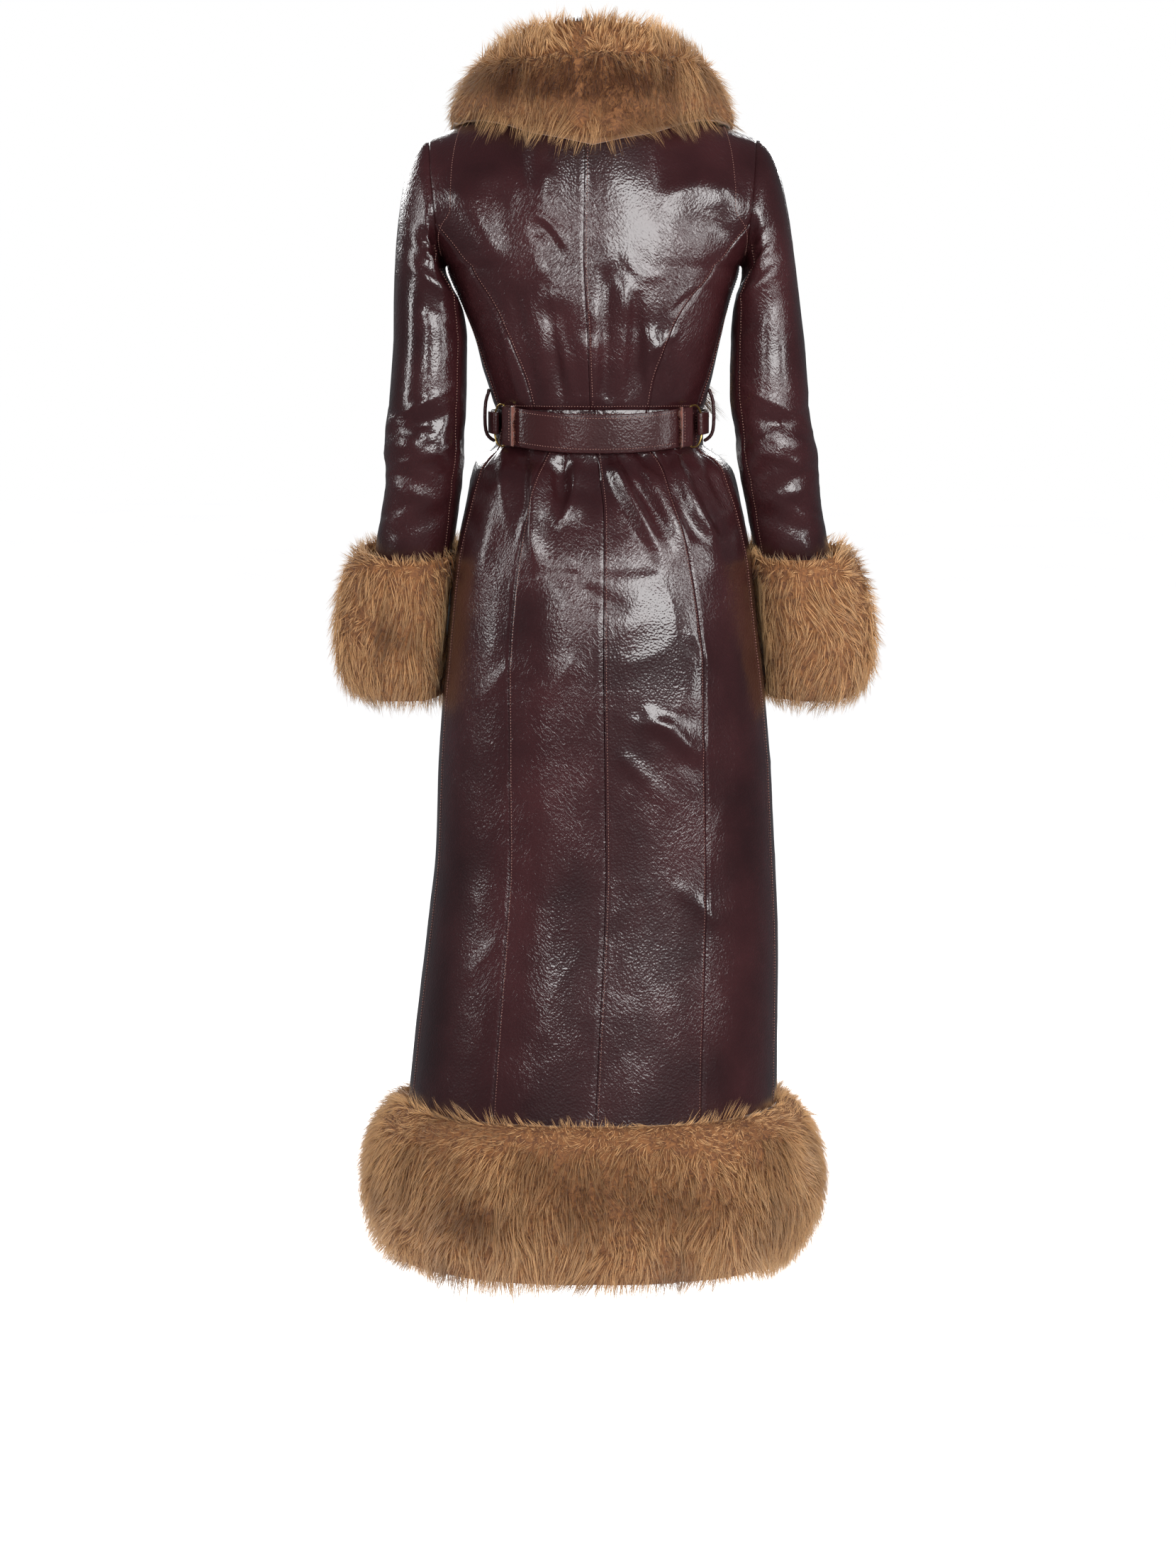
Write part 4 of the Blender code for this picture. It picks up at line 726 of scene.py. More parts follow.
def finish_piece(piece, finish, smooth=None):
    """Shades a piece, gives it its material and slot, and lets it ride on the coat.

    The last value is the angle in degrees past which an edge stays sharp.
    """
    select_only(piece)
    if smooth is None:
        bpy.ops.object.shade_smooth()
    else:
        bpy.ops.object.shade_smooth_by_angle(angle=math.radians(smooth))
    piece.select_set(False)
    piece.data.materials.clear()
    piece.data.materials.append(finish)
    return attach(piece, BODY_NAME)


def wall_mesh(name, outer, inner):
    """A closed wall between two grids of points."""
    rows, columns = outer.shape[:2]
    index = np.arange(rows * columns).reshape(rows, columns)
    a, b, c, d = index[:-1, :-1], index[:-1, 1:], index[1:, 1:], index[1:, :-1]
    halves = [np.stack(corners, -1).reshape(-1, 3) for corners in ((a, b, c), (a, c, d))]
    outside = np.concatenate(halves)
    more = rows * columns
    inside = outside[:, ::-1] + more
    rim = np.concatenate([index[0, :], index[1:, -1], index[-1, -2::-1], index[-2:0:-1, 0]])
    ahead = np.roll(rim, -1)
    sides = [np.stack([ahead, rim, rim + more], -1), np.stack([ahead, rim + more, ahead + more], -1)]
    points = np.concatenate([outer.reshape(-1, 3), inner.reshape(-1, 3)])
    triangles = np.concatenate([outside, inside, *sides])
    first, second, third = points[triangles].transpose(1, 0, 2)
    if (first * np.cross(second, third)).sum() < 0:
        triangles = triangles[:, ::-1]
    return mesh_of(name, points, triangles)


def spread(count):
    """Shares from 0 to 1, closer together near both ends."""
    t = np.linspace(0, 1, count + 1)
    return 0.6 * t + 0.4 * (1 - np.cos(math.pi * t)) / 2


# How wide a seam's groove is, how wide its sewn-down allowance, and how soft the allowance's edge
GROOVE_REACH = 0.0012
ALLOWANCE = 0.0055
ALLOWANCE_EDGE = 0.0030


def seam_relief(distance, settings):
    """A topstitched seam: a fine groove, and beside it the allowance's low plateau."""
    groove = -settings.seam_groove * bell(distance, GROOVE_REACH)
    return groove + settings.seam_plateau * (1 - smoothstep((distance - ALLOWANCE) / ALLOWANCE_EDGE))


def edge_distances(points):
    """Distances to the first and last column, and to the first and last row, along the grid."""
    across = np.linalg.norm(np.diff(points, axis=1), axis=-1)
    across = np.concatenate([np.zeros((len(points), 1)), np.cumsum(across, 1)], 1)
    along = np.linalg.norm(np.diff(points, axis=0), axis=-1)
    along = np.concatenate([np.zeros((1, points.shape[1])), np.cumsum(along, 0)], 0)
    return across, across[:, -1:] - across, along, along[-1:] - along


# A panel's edges and the points beside them: first and last column, first and last row
ALL = slice(None)
EDGES = ((ALL, 0), (ALL, -1), (0, ALL), (-1, ALL))
BESIDE_EDGES = ((ALL, 1), (ALL, -2), (1, ALL), (-2, ALL))

# How far a sewn edge's turned-in allowance reaches towards the next panel
SEAM_TUCK = 0.0005

# The leather panels: how many columns of faces each has, and its cut laid flat, as its greatest width
# and length and its area
Panel = namedtuple("Panel", "columns width length area")
PANELS = {
    "bodice_back_centre_left": Panel(50, 0.215, 0.400, 0.0510),
    "bodice_back_centre_right": Panel(50, 0.225, 0.400, 0.0550),
    "bodice_back_side_left": Panel(18, 0.080, 0.255, 0.0130),
    "bodice_back_side_right": Panel(18, 0.090, 0.250, 0.0155),
    "bodice_front_left": Panel(44, 0.315, 0.445, 0.0780),
    "bodice_front_right": Panel(44, 0.270, 0.415, 0.0730),
    "skirt_back_centre_left": Panel(34, 0.115, 0.785, 0.0780),
    "skirt_back_centre_right": Panel(34, 0.120, 0.790, 0.0815),
    "skirt_back_side_left": Panel(32, 0.145, 0.790, 0.0880),
    "skirt_back_side_right": Panel(32, 0.135, 0.795, 0.0850),
    "skirt_front_left": Panel(54, 0.480, 0.780, 0.3180),
    "skirt_front_right": Panel(44, 0.425, 0.785, 0.2780),
    "sleeve_under_left": Panel(14, 0.087, 0.375, 0.0225),
    "sleeve_under_right": Panel(14, 0.087, 0.375, 0.0225),
    "sleeve_upper_left": Panel(52, 0.307, 0.490, 0.0980),
    "sleeve_upper_right": Panel(52, 0.307, 0.490, 0.0980),
}


def add_leather(name, outer, normals, settings, seams, leather):
    """A leather panel from its outer points.

    The seams say which edges are sewn: the first and last column, and the first and last row.
    """
    distances = edge_distances(outer)
    relief = np.zeros(outer.shape[:2])
    for sewn, distance in zip(seams, distances):
        if sewn:
            relief = relief + seam_relief(distance, settings)
    outer = outer + normals * relief[..., None]
    # The turned-in allowance of a sewn edge closes the seam from inside
    inner = outer - normals * LEATHER
    for sewn, edge, beside in zip(seams, EDGES, BESIDE_EDGES):
        if sewn:
            inner[edge] += unit(outer[edge] - outer[beside]) * SEAM_TUCK
    piece = wall_mesh("panel_" + name, outer, inner)
    finish_piece(piece, leather, 50)
    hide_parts(name)


def rows_between(low, high, step):
    """Even places from one height to another, about a step apart."""
    return np.linspace(low, high, max(2, round(abs(high - low) / step) + 1))


def seam_angle_gap(z):
    """Half a seam's gap as an angle of the ring."""
    return np.degrees(SEAM_GAP * 0.6 / read("body", "half_width", z))


def overlap_rise(angle, height):
    """How far the over front stands off the under one."""
    share, along = share_of(angle)
    fade = 1.0 - smoothstep((height - 0.35) / 0.4)
    return np.where(along >= 0, 0.0, OVERLAP_RISE * smoothstep((0.80 - share) / 0.25) * fade)


def front_edge(side, height):
    """The angles of a front's free edge. The left front lies over the right one."""
    share = read("front", "over" if side > 0 else "under", height)
    return side * (180 - side * angle_of(share))


def add_body_panel(name, heights, first, last, settings, seams, leather, over=False):
    """A panel of the body between a first and a last edge, given as angles at each height."""
    angles = first[:, None] + (last - first)[:, None] * spread(PANELS[name].columns)[None, :]
    heights = np.repeat(heights[:, None], angles.shape[1], 1)
    out = overlap_rise(angles, heights) if over else 0.0
    points, normals = body_surface(angles, heights, settings, out)
    add_leather(name, points, normals, settings, seams, leather)


# Materials


def linear(hex_colour):
    """The linear colour of an sRGB hex value."""
    parts = [int(hex_colour[i : i + 2], 16) / 255 for i in (1, 3, 5)]
    return tuple(p / 12.92 if p <= 0.04045 else ((p + 0.055) / 1.055) ** 2.4 for p in parts)


def shade_of(colour, share):
    """A colour made darker, or lighter where the share is above 1."""
    return tuple(share * part for part in colour)


def fill_sockets(tree, node, inputs):
    """Gives a node's inputs their plain values, or links them to another node's socket."""
    for name, value in dict(inputs).items():
        if isinstance(value, bpy.types.NodeSocket):
            tree.links.new(value, node.inputs[name])
        else:
            node.inputs[name].default_value = value


def add_node(tree, kind, inputs=(), stops=(), **settings):
    """Adds a node with its settings and links. The stops are a colour ramp's places and colours."""
    made = tree.nodes.new(kind)
    for name, value in settings.items():
        setattr(made, name, value)
    fill_sockets(tree, made, inputs)
    for number, (place, colour) in enumerate(stops):
        elements = made.color_ramp.elements
        element = elements[number] if number < 2 else elements.new(place)
        element.position, element.color = place, (*colour, 1.0)
    return made


def mottled(tree, noise, dark, light, places=(0.3, 0.7)):
    """A noise on the piece's own coordinates, and the colour that follows it from dark to light."""
    noise = {"Vector": add_node(tree, "ShaderNodeTexCoord").outputs["Object"], **noise}
    noise = add_node(tree, "ShaderNodeTexNoise", noise).outputs["Fac"]
    stops = zip(places, (dark, light))
    return noise, add_node(tree, "ShaderNodeValToRGB", {"Fac": noise}, stops).outputs["Color"]


def new_material(name):
    made = bpy.data.materials.new(name)
    made.use_nodes = True
    return made, made.node_tree, made.node_tree.nodes["Principled BSDF"]


# How often each pattern repeats in a metre: clouds of dye 110 mm wide, zones of creases 77 mm wide,
# thread with a twist of 1.5 mm, wool in locks of 6 mm, suede's nap in tufts of 2.5 mm, scratches on
# brass 3.3 mm apart, and the board's clouds, 0.8 m wide. Pores are 1.2 mm apart on the hide and drawn
# 2.2 mm apart to show.
DYE_SCALE = 9.0
CREASE_ZONE_SCALE = 13.0
PORE_SCALE = 450.0
TWIST_SCALE = 660.0
WOOL_SCALE = 160.0
NAP_SCALE = 400.0
SCRATCH_SCALE = 300.0
BOARD_SCALE = 1.3

# Hand-break creases, about 3 mm apart and 8 mm long, that slant one way or the other
CREASE_SIZE = (0.0028, 0.0028, 0.0080)
CREASE_SLANTS = (0.75, -0.55)

# The depths of the leather's pores, the wool's locks and the suede's nap
PORE_DEPTH = 0.0005
WOOL_DEPTH = 0.004
NAP_DEPTH = 0.0005


def leather_material(name, deep, lit, settings, polish=1.0):
    """Coated leather, drum-dyed and polished: a hard clear film over a fine pore grain."""
    made, tree, shader = new_material(name)
    clouds, dye = mottled(tree, {"Scale": DYE_SCALE, "Detail": 4.0}, deep, lit, (0.32, 0.68))
    place = add_node(tree, "ShaderNodeTexCoord").outputs["Object"]
    pores = {"Vector": place, "Scale": PORE_SCALE}
    pores = add_node(tree, "ShaderNodeTexVoronoi", pores, feature="SMOOTH_F1").outputs["Distance"]
    lines = []
    for slant in CREASE_SLANTS:
        turned = {"Vector": place, "Rotation": (0.0, slant, 0.0), "Scale": CREASE_SIZE}
        turned = add_node(tree, "ShaderNodeMapping", turned, vector_type="TEXTURE")
        drawn = {"Vector": turned.outputs[0], "Scale": 1.0, "Detail": 3.0, "Distortion": 1.1}
        lines.append(add_node(tree, "ShaderNodeTexNoise", drawn).outputs["Fac"])
    zones = {"Vector": place, "Scale": CREASE_ZONE_SCALE, "Detail": 2.0}
    zones = add_node(tree, "ShaderNodeTexNoise", zones).outputs["Fac"]
    way = {"Value": zones, "From Min": 0.42, "From Max": 0.56}
    way = add_node(tree, "ShaderNodeMapRange", way, interpolation_type="SMOOTHSTEP").outputs["Result"]
    folded = add_node(tree, "ShaderNodeMix", {0: way, 2: lines[0], 3: lines[1]}).outputs[0]
    # Creased less where the dye is thick, and towards the hem, where the skirt hangs straighter
    height = add_node(tree, "ShaderNodeSeparateXYZ", {"Vector": place}).outputs["Z"]
    worn = {"Value": clouds, "From Min": 0.40, "From Max": 0.58, "To Min": 0.12, "To Max": 1.0}
    hung = {"Value": height, "From Min": -1.00, "From Max": -0.62, "To Min": 0.60, "To Max": 1.0}
    amounts = [add_node(tree, "ShaderNodeMapRange", amount).outputs["Result"] for amount in (worn, hung)]
    where = add_node(tree, "ShaderNodeMath", dict(enumerate(amounts)), operation="MULTIPLY").outputs[0]
    folded = add_node(tree, "ShaderNodeMath", {0: folded, 1: where}, operation="MULTIPLY").outputs[0]
    soft = {"Height": folded, "Strength": 0.8, "Distance": settings.crease_bump}
    soft = add_node(tree, "ShaderNodeBump", soft).outputs[0]
    pitted = {"Height": pores, "Distance": PORE_DEPTH, "Normal": soft}
    grain, film = (
        add_node(tree, "ShaderNodeBump", {**pitted, "Strength": strength}).outputs[0]
        for strength in (0.55, 0.34)
    )
    rough = {"Value": clouds, "To Min": 0.44 - 0.16 * polish, "To Max": 0.52 - 0.14 * polish}
    surface = {
        "Base Color": dye,
        "Roughness": add_node(tree, "ShaderNodeMapRange", rough).outputs["Result"],
        "Specular IOR Level": 0.12 + 0.08 * polish,
        "Normal": grain,
        "Coat Weight": polish,
        "Coat Roughness": 0.085,
        "Coat IOR": 1.5,
        "Coat Normal": film,
    }
    fill_sockets(tree, shader, surface)
    return made


def thread_material(name, colour):
    """Bonded polyester thread: twisted, slightly glossy."""
    made, tree, shader = new_material(name)
    _, shade = mottled(tree, {"Scale": TWIST_SCALE}, shade_of(colour, 0.6), colour)
    fill_sockets(tree, shader, {"Base Color": shade, "Roughness": 0.45})
    return made


def fur_material(name, root, dark, middle, tip):
    """Long-haired sheepskin: brown guard hairs, dull at the root, silky at the tip, darker in patches, with
    painted shade on the collar.
    """
    made, tree, shader = new_material(name)
    # The locks carry how far along the hair a point lies, the lock's own chance, and how dark its patch is,
    # which on the collar is painted shade and a painted lighter top
    parts = add_node(tree, "ShaderNodeAttribute", attribute_name="pile")
    split = add_node(tree, "ShaderNodeSeparateColor", {"Color": parts.outputs["Color"]})
    along, chance, patch_and_shade = (split.outputs[part] for part in ("Red", "Green", "Blue"))
    light, patch_and_shade_colour = (
        add_node(tree, "ShaderNodeValToRGB", {"Fac": along}, stops).outputs["Color"]
        for stops in (
            ((0.0, root), (0.45, middle), (1.0, tip)),
            ((0.0, shade_of(dark, 0.6)), (0.6, dark), (1.0, shade_of(dark, 1.3))),
        )
    )
    # Mixes in the darker hair of the patches and of the collar's painted shade
    patched_and_shaded = {0: patch_and_shade, 6: light, 7: patch_and_shade_colour}
    patched_and_shaded = add_node(tree, "ShaderNodeMix", patched_and_shaded, data_type="RGBA", blend_type="MIX").outputs[2]
    bright = add_node(tree, "ShaderNodeMapRange", {"Value": chance, "To Min": 0.72, "To Max": 1.30})
    varied = {"Color": patched_and_shaded, "Value": bright.outputs["Result"]}
    surface = {
        "Base Color": add_node(tree, "ShaderNodeHueSaturation", varied).outputs["Color"],
        "Roughness": 0.55,
        "Specular IOR Level": 0.22,
        "Sheen Weight": 0.10,
        "Sheen Roughness": 0.4,
    }
    fill_sockets(tree, shader, surface)
    return made


def underwool_material(name, root, dark):
    """The dense short wool between the guard hairs, seen only in their gaps: matt and lumpy."""
    made, tree, shader = new_material(name)
    locks = {"Scale": WOOL_SCALE, "Detail": 5.0, "Distortion": 1.5}
    locks, shade = mottled(tree, locks, root, dark, (0.35, 0.70))
    bump = add_node(tree, "ShaderNodeBump", {"Height": locks, "Strength": 0.9, "Distance": WOOL_DEPTH})
    fill_sockets(tree, shader, {"Base Color": shade, "Normal": bump.outputs[0], "Roughness": 0.9})
    return made


def hide_material(name, colour):
    """Suede, the fur's flesh side: matt, napped, pale brown."""
    made, tree, shader = new_material(name)
    nap = {"Scale": NAP_SCALE, "Detail": 4.0}
    nap, shade = mottled(tree, nap, shade_of(colour, 0.7), colour)
    bump = add_node(tree, "ShaderNodeBump", {"Height": nap, "Strength": 0.4, "Distance": NAP_DEPTH})
    surface = {"Base Color": shade, "Normal": bump.outputs[0], "Roughness": 0.85, "Sheen Weight": 0.4}
    fill_sockets(tree, shader, surface)
    return made


def brass_material(name, colour):
    """Polished brass wire: clear reflections, faintly scratched."""
    made, tree, shader = new_material(name)
    place = add_node(tree, "ShaderNodeTexCoord").outputs["Object"]
    wear = {"Vector": place, "Scale": SCRATCH_SCALE, "Detail": 3.0}
    wear = add_node(tree, "ShaderNodeTexNoise", wear).outputs["Fac"]
    rough = add_node(tree, "ShaderNodeMapRange", {"Value": wear, "To Min": 0.22, "To Max": 0.38})
    surface = {"Base Color": (*colour, 1.0), "Metallic": 1.0, "Roughness": rough.outputs["Result"]}
    fill_sockets(tree, shader, surface)
    return made


def floor_material(name, colour, glow):
    """Matt white board, lit from below as a product table is."""
    made, tree, shader = new_material(name)
    _, shade = mottled(tree, {"Scale": BOARD_SCALE}, shade_of(colour, 0.98), colour)
    surface = {"Base Color": shade, "Roughness": 0.9, "Emission Color": shade, "Emission Strength": glow}
    fill_sockets(tree, shader, surface)
    return made


MATERIALS = {}


def material(name, maker, *facts):
    """A material by name, made once."""
    if name not in MATERIALS:
        MATERIALS[name] = maker(name, *facts)
    return MATERIALS[name]


def coat_leather(settings):
    """The panels' leather."""
    facts = settings.deep_colour, settings.lit_colour, settings
    return material("coated_burgundy_leather", leather_material, *facts)


def seam_thread(settings):
    """The topstitching's thread."""
    return material("bonded_thread", thread_material, settings.thread_colour)


# Properties


class CoatLeather(bpy.types.PropertyGroup):
    """Sizes and colours of the leather panels."""

    row_step: FloatProperty(
        name="Row step", description="Distance between a panel's rows of points", default=0.0066,
        unit="LENGTH",
    )
    back_row_step: FloatProperty(
        name="Back row step", description="The same on the back's creased panels", default=0.0042,
        unit="LENGTH",
    )
    crumple: FloatProperty(
        name="Crumpling", description="Height of the small creases", default=0.0009, unit="LENGTH",
        precision=5,
    )
    seam_groove: FloatProperty(
        name="Seam groove", description="Depth of a seam's line", default=0.0009, unit="LENGTH",
        precision=5,
    )
    seam_plateau: FloatProperty(
        name="Seam allowance", description="Rise of the sewn-down edge", default=0.0002, unit="LENGTH",
        precision=5,
    )
    crease_bump: FloatProperty(
        name="Hand-break creases", description="Depth of the finest creases", default=0.0009,
        unit="LENGTH",
    )
    deep_colour: FloatVectorProperty(
        name="Deep colour", description="The dye where it lies thick", default=linear("#1f0b0d"),
        subtype="COLOR",
    )
    lit_colour: FloatVectorProperty(
        name="Worn colour", description="The dye where it lies thin", default=linear("#311517"),
        subtype="COLOR",
    )
    thread_colour: FloatVectorProperty(
        name="Thread colour", description="Topstitching thread", default=linear("#946a60"),
        subtype="COLOR",
    )
    stitch_length: FloatProperty(
        name="Stitch length", description="One stitch of thread", default=0.0021, unit="LENGTH"
    )
    stitch_pitch: FloatProperty(
        name="Stitch pitch", description="From one stitch to the next", default=0.0031, unit="LENGTH"
    )


class CoatFur(bpy.types.PropertyGroup):
    """Sizes and colours of the fur."""

    strand_width: FloatProperty(
        name="Lock width", description="Thickness of a lock of hairs", default=0.0010, unit="LENGTH"
    )
    stray: FloatProperty(
        name="Stray", description="How far tips stand out past the pile", default=0.007, unit="LENGTH"
    )
    hem_strands: IntProperty(name="Hem locks", description="Locks on the hem band", default=38000)
    collar_strands: IntProperty(name="Collar locks", description="Locks on the collar", default=24000)
    cuff_strands: IntProperty(name="Cuff locks", description="Locks on each cuff", default=9000)
    trim_strands: IntProperty(name="Trim locks", description="Locks on the front trim", default=5200)
    root_colour: FloatVectorProperty(
        name="Root colour", description="Hair near the hide", default=linear("#573520"),
        subtype="COLOR",
    )
    # Also the colour of the collar's painted shade
    dark_colour: FloatVectorProperty(
        name="Patch colour", description="Hair in the darker patches", default=linear("#472712"),
        subtype="COLOR",
    )
    middle_colour: FloatVectorProperty(
        name="Middle colour", description="The main brown", default=linear("#845731"), subtype="COLOR"
    )
    tip_colour: FloatVectorProperty(
        name="Tip colour", description="The pale ends of the hairs", default=linear("#d9ae7c"),
        subtype="COLOR",
    )
    hide_colour: FloatVectorProperty(
        name="Hide colour", description="The fur's flesh side", default=linear("#7a5638"),
        subtype="COLOR",
    )


class CoatBelt(bpy.types.PropertyGroup):
    """Sizes and colours of the belt and its rings."""

    edge_round: FloatProperty(
        name="Edge rounding", description="Radius of the belt's turned edges", default=0.0007,
        unit="LENGTH",
    )
    fray: FloatProperty(
        name="Fray", description="Length of the loose fibres at the raw ends", default=0.005,
        unit="LENGTH",
    )
    loop_padding: FloatProperty(
        name="Loop padding", description="How far the belt loops' turned edges stand out all round",
        default=0.0011, unit="LENGTH",
    )
    leather_colour: FloatVectorProperty(
        name="Belt colour", description="The belt's leather", default=linear("#341718"),
        subtype="COLOR",
    )
    fray_colour: FloatVectorProperty(
        name="Fray colour", description="The raw, undyed ends", default=linear("#66372a"),
        subtype="COLOR",
    )
    brass_colour: FloatVectorProperty(
        name="Brass colour", description="The rings' polished brass", default=linear("#f2cf7c"),
        subtype="COLOR",
    )


class CoatStage(bpy.types.PropertyGroup):
    """The studio: floor, lights and camera."""

    floor_z: FloatProperty(
        name="Floor height", description="Where the floor lies below the neck", default=-1.60,
        unit="LENGTH",
    )
    floor_colour: FloatVectorProperty(
        name="Floor colour", description="Pale studio floor", default=linear("#f4f3f2"),
        subtype="COLOR",
    )
    floor_glow: FloatProperty(
        name="Floor glow", description="Light that the floor gives off", default=0.85
    )
    room_light: FloatProperty(name="Room light", description="Dim light from all round", default=0.32)
    room_shine: FloatProperty(
        name="Room shine", description="How bright the room is where glossy leather mirrors it",
        default=0.09,
    )
    camera_target: FloatVectorProperty(
        name="Camera target", description="The point looked at", default=(0.008, 0.0, -0.75),
        unit="LENGTH",
    )
    camera_distance: FloatProperty(
        name="Camera distance", description="From the target", default=5.0, unit="LENGTH"
    )
    camera_elevation: FloatProperty(
        name="Camera elevation", description="Above the level", default=math.radians(5.8),
        subtype="ANGLE",
    )
    camera_lens: FloatProperty(name="Lens", description="Focal length", default=103.5, unit="CAMERA")


# Operators: the leather


class COAT_OT_bodice(bpy.types.Operator):
    """Makes the bodice's six leather panels"""

    bl_idname = "coat.bodice"
    bl_label = "Bodice panels"

    def execute(self, context):
        settings = context.scene.coat_leather
        leather = coat_leather(settings)
        half_gap = float(seam_angle_gap(BODICE_MIDDLE_Z))

        def rows(step, top):
            """Heights from the waist to a share of the way up the yoke."""
            low = rows_between(WAIST_Z + SEAM_GAP / 2 - ARMPIT_Z, 0.0, step)[:-1]
            return np.concatenate([low, np.linspace(0.0, top, round(YOKE_LENGTH * top / step) + 4)])

        for name, side in SIDES:
            heights = rows(settings.back_row_step, YOKE_TOP)
            princess = angle_of(read("bodice", name, heights)) - side * half_gap
            edge = np.where(heights >= SEAM_TOP, side * BACK_EDGE, princess)
            centre = angle_of(read("bodice", "centre", heights)) + side * half_gap
            seams = (True, True, True, True)
            add_body_panel(f"bodice_back_centre_{name}", heights, centre, edge, settings, seams, leather)
            heights = rows(settings.back_row_step, SEAM_TOP - 0.002)
            princess = angle_of(read("bodice", name, heights)) + side * half_gap
            edge = side * np.minimum(read("bodice", "side_angle", heights) - half_gap, BACK_EDGE)
            seams = (True, True, True, False)
            add_body_panel(f"bodice_back_side_{name}", heights, princess, edge, settings, seams, leather)
            heights = rows(settings.row_step, YOKE_TOP)
            start = read("bodice", "side_angle", heights) + half_gap
            start = side * np.where(heights < 0, start, 180 - BACK_EDGE)
            edge = front_edge(side, heights)
            seams = (True, False, True, True)
            add_body_panel(f"bodice_front_{name}", heights, start, edge, settings, seams, leather, side > 0)
        return {"FINISHED"}


class COAT_OT_skirt(bpy.types.Operator):
    """Makes the skirt's six leather panels"""

    bl_idname = "coat.skirt"
    bl_label = "Skirt panels"

    def execute(self, context):
        settings = context.scene.coat_leather
        leather = coat_leather(settings)
        low, high = HEM_Z + SEAM_GAP / 2, WAIST_Z - SEAM_GAP / 2
        for name, side in SIDES:
            z = rows_between(high, low, settings.back_row_step)
            gap, heights = side * seam_angle_gap(z), z - ARMPIT_Z
            centre = angle_of(read("skirt", "centre", z)) + gap
            princess = angle_of(read("skirt", name, z))
            flank = side * read("skirt", "side_angle", z)
            seams = (True, True, True, False)
            edge = princess - gap
            add_body_panel(f"skirt_back_centre_{name}", heights, centre, edge, settings, seams, leather)
            start, edge = princess + gap, flank - gap
            add_body_panel(f"skirt_back_side_{name}", heights, start, edge, settings, seams, leather)
            z = rows_between(high, low, settings.row_step)
            gap, heights = side * seam_angle_gap(z), z - ARMPIT_Z
            start = side * read("skirt", "side_angle", z) + gap
            edge = front_edge(side, heights)
            seams = (True, False, True, False)
            add_body_panel(f"skirt_front_{name}", heights, start, edge, settings, seams, leather, side > 0)
        return {"FINISHED"}


class COAT_OT_sleeves(bpy.types.Operator):
    """Makes both two-piece sleeves"""

    bl_idname = "coat.sleeves"
    bl_label = "Sleeves"

    def execute(self, context):
        settings = context.scene.coat_leather
        leather = coat_leather(settings)
        rows = np.concatenate([np.linspace(0.0, 1.0, 34)[:-1], np.linspace(1.0, 2.0, 54)])
        for name, side in SIDES:
            for piece, first, last in (
                (f"sleeve_under_{name}", -BACK_SEAM_ANGLE, BACK_SEAM_ANGLE),
                (f"sleeve_upper_{name}", BACK_SEAM_ANGLE, 360 - BACK_SEAM_ANGLE),
            ):
                first, last = first + SLEEVE_GAP_ANGLE, last - SLEEVE_GAP_ANGLE
                angles = first + (last - first) * spread(PANELS[piece].columns)
                angles, u = np.meshgrid(angles, rows)
                points, normals = sleeve_surface(side, angles, u, settings)
                add_leather(piece, points, normals, settings, (True, True, True, False), leather)
        return {"FINISHED"}


# A stitch's half width, and how far its thread stands out of the leather and lies in it
THREAD_HALF = 0.00045
THREAD_RISE = 0.0006
THREAD_SINK = 0.0004

# The rows' distances from a seam, from the waist seam, from the belt's edges and from its folded ends,
# how far they lie above the leather, and the angle between a sleeve's seam and its row
SEAM_TO_ROW = 0.0030
WAIST_TO_ROW = 0.0042
BELT_EDGE_TO_ROW = 0.0044
BELT_END_TO_ROW = 0.0034
ROW_LIFT = 0.0001
SLEEVE_ROW_ANGLE = 4.0


def add_stitches(name, paths, settings):
    """A piece of single stitches along rows of surface points with their normals."""
    points, triangles = [], []
    half = settings.stitch_length / 2
    for path, normals in paths:
        steps = np.linalg.norm(np.diff(path, axis=0), axis=1)
        gone = np.concatenate([[0.0], np.cumsum(steps)])
        for place in np.arange(settings.stitch_pitch, gone[-1] - half, settings.stitch_pitch):
            middle, before, after, up = (
                np.array([np.interp(place + shift, gone, row[:, k]) for k in range(3)])
                for row, shift in ((path, 0.0), (path, -half), (path, half), (normals, 0.0))
            )
            side = unit(np.cross(after - before, up)) * THREAD_HALF
            up = unit(up)
            ring = [middle + side, middle + up * THREAD_RISE, middle - side, middle - up * THREAD_SINK]
            start = len(points)
            points += [before, *ring, after]
            for k in range(4):
                a, b = start + 1 + k, start + 1 + (k + 1) % 4
                triangles += [(start, b, a), (start + 5, a, b)]
    finish_piece(mesh_of(name, points, triangles), seam_thread(settings))


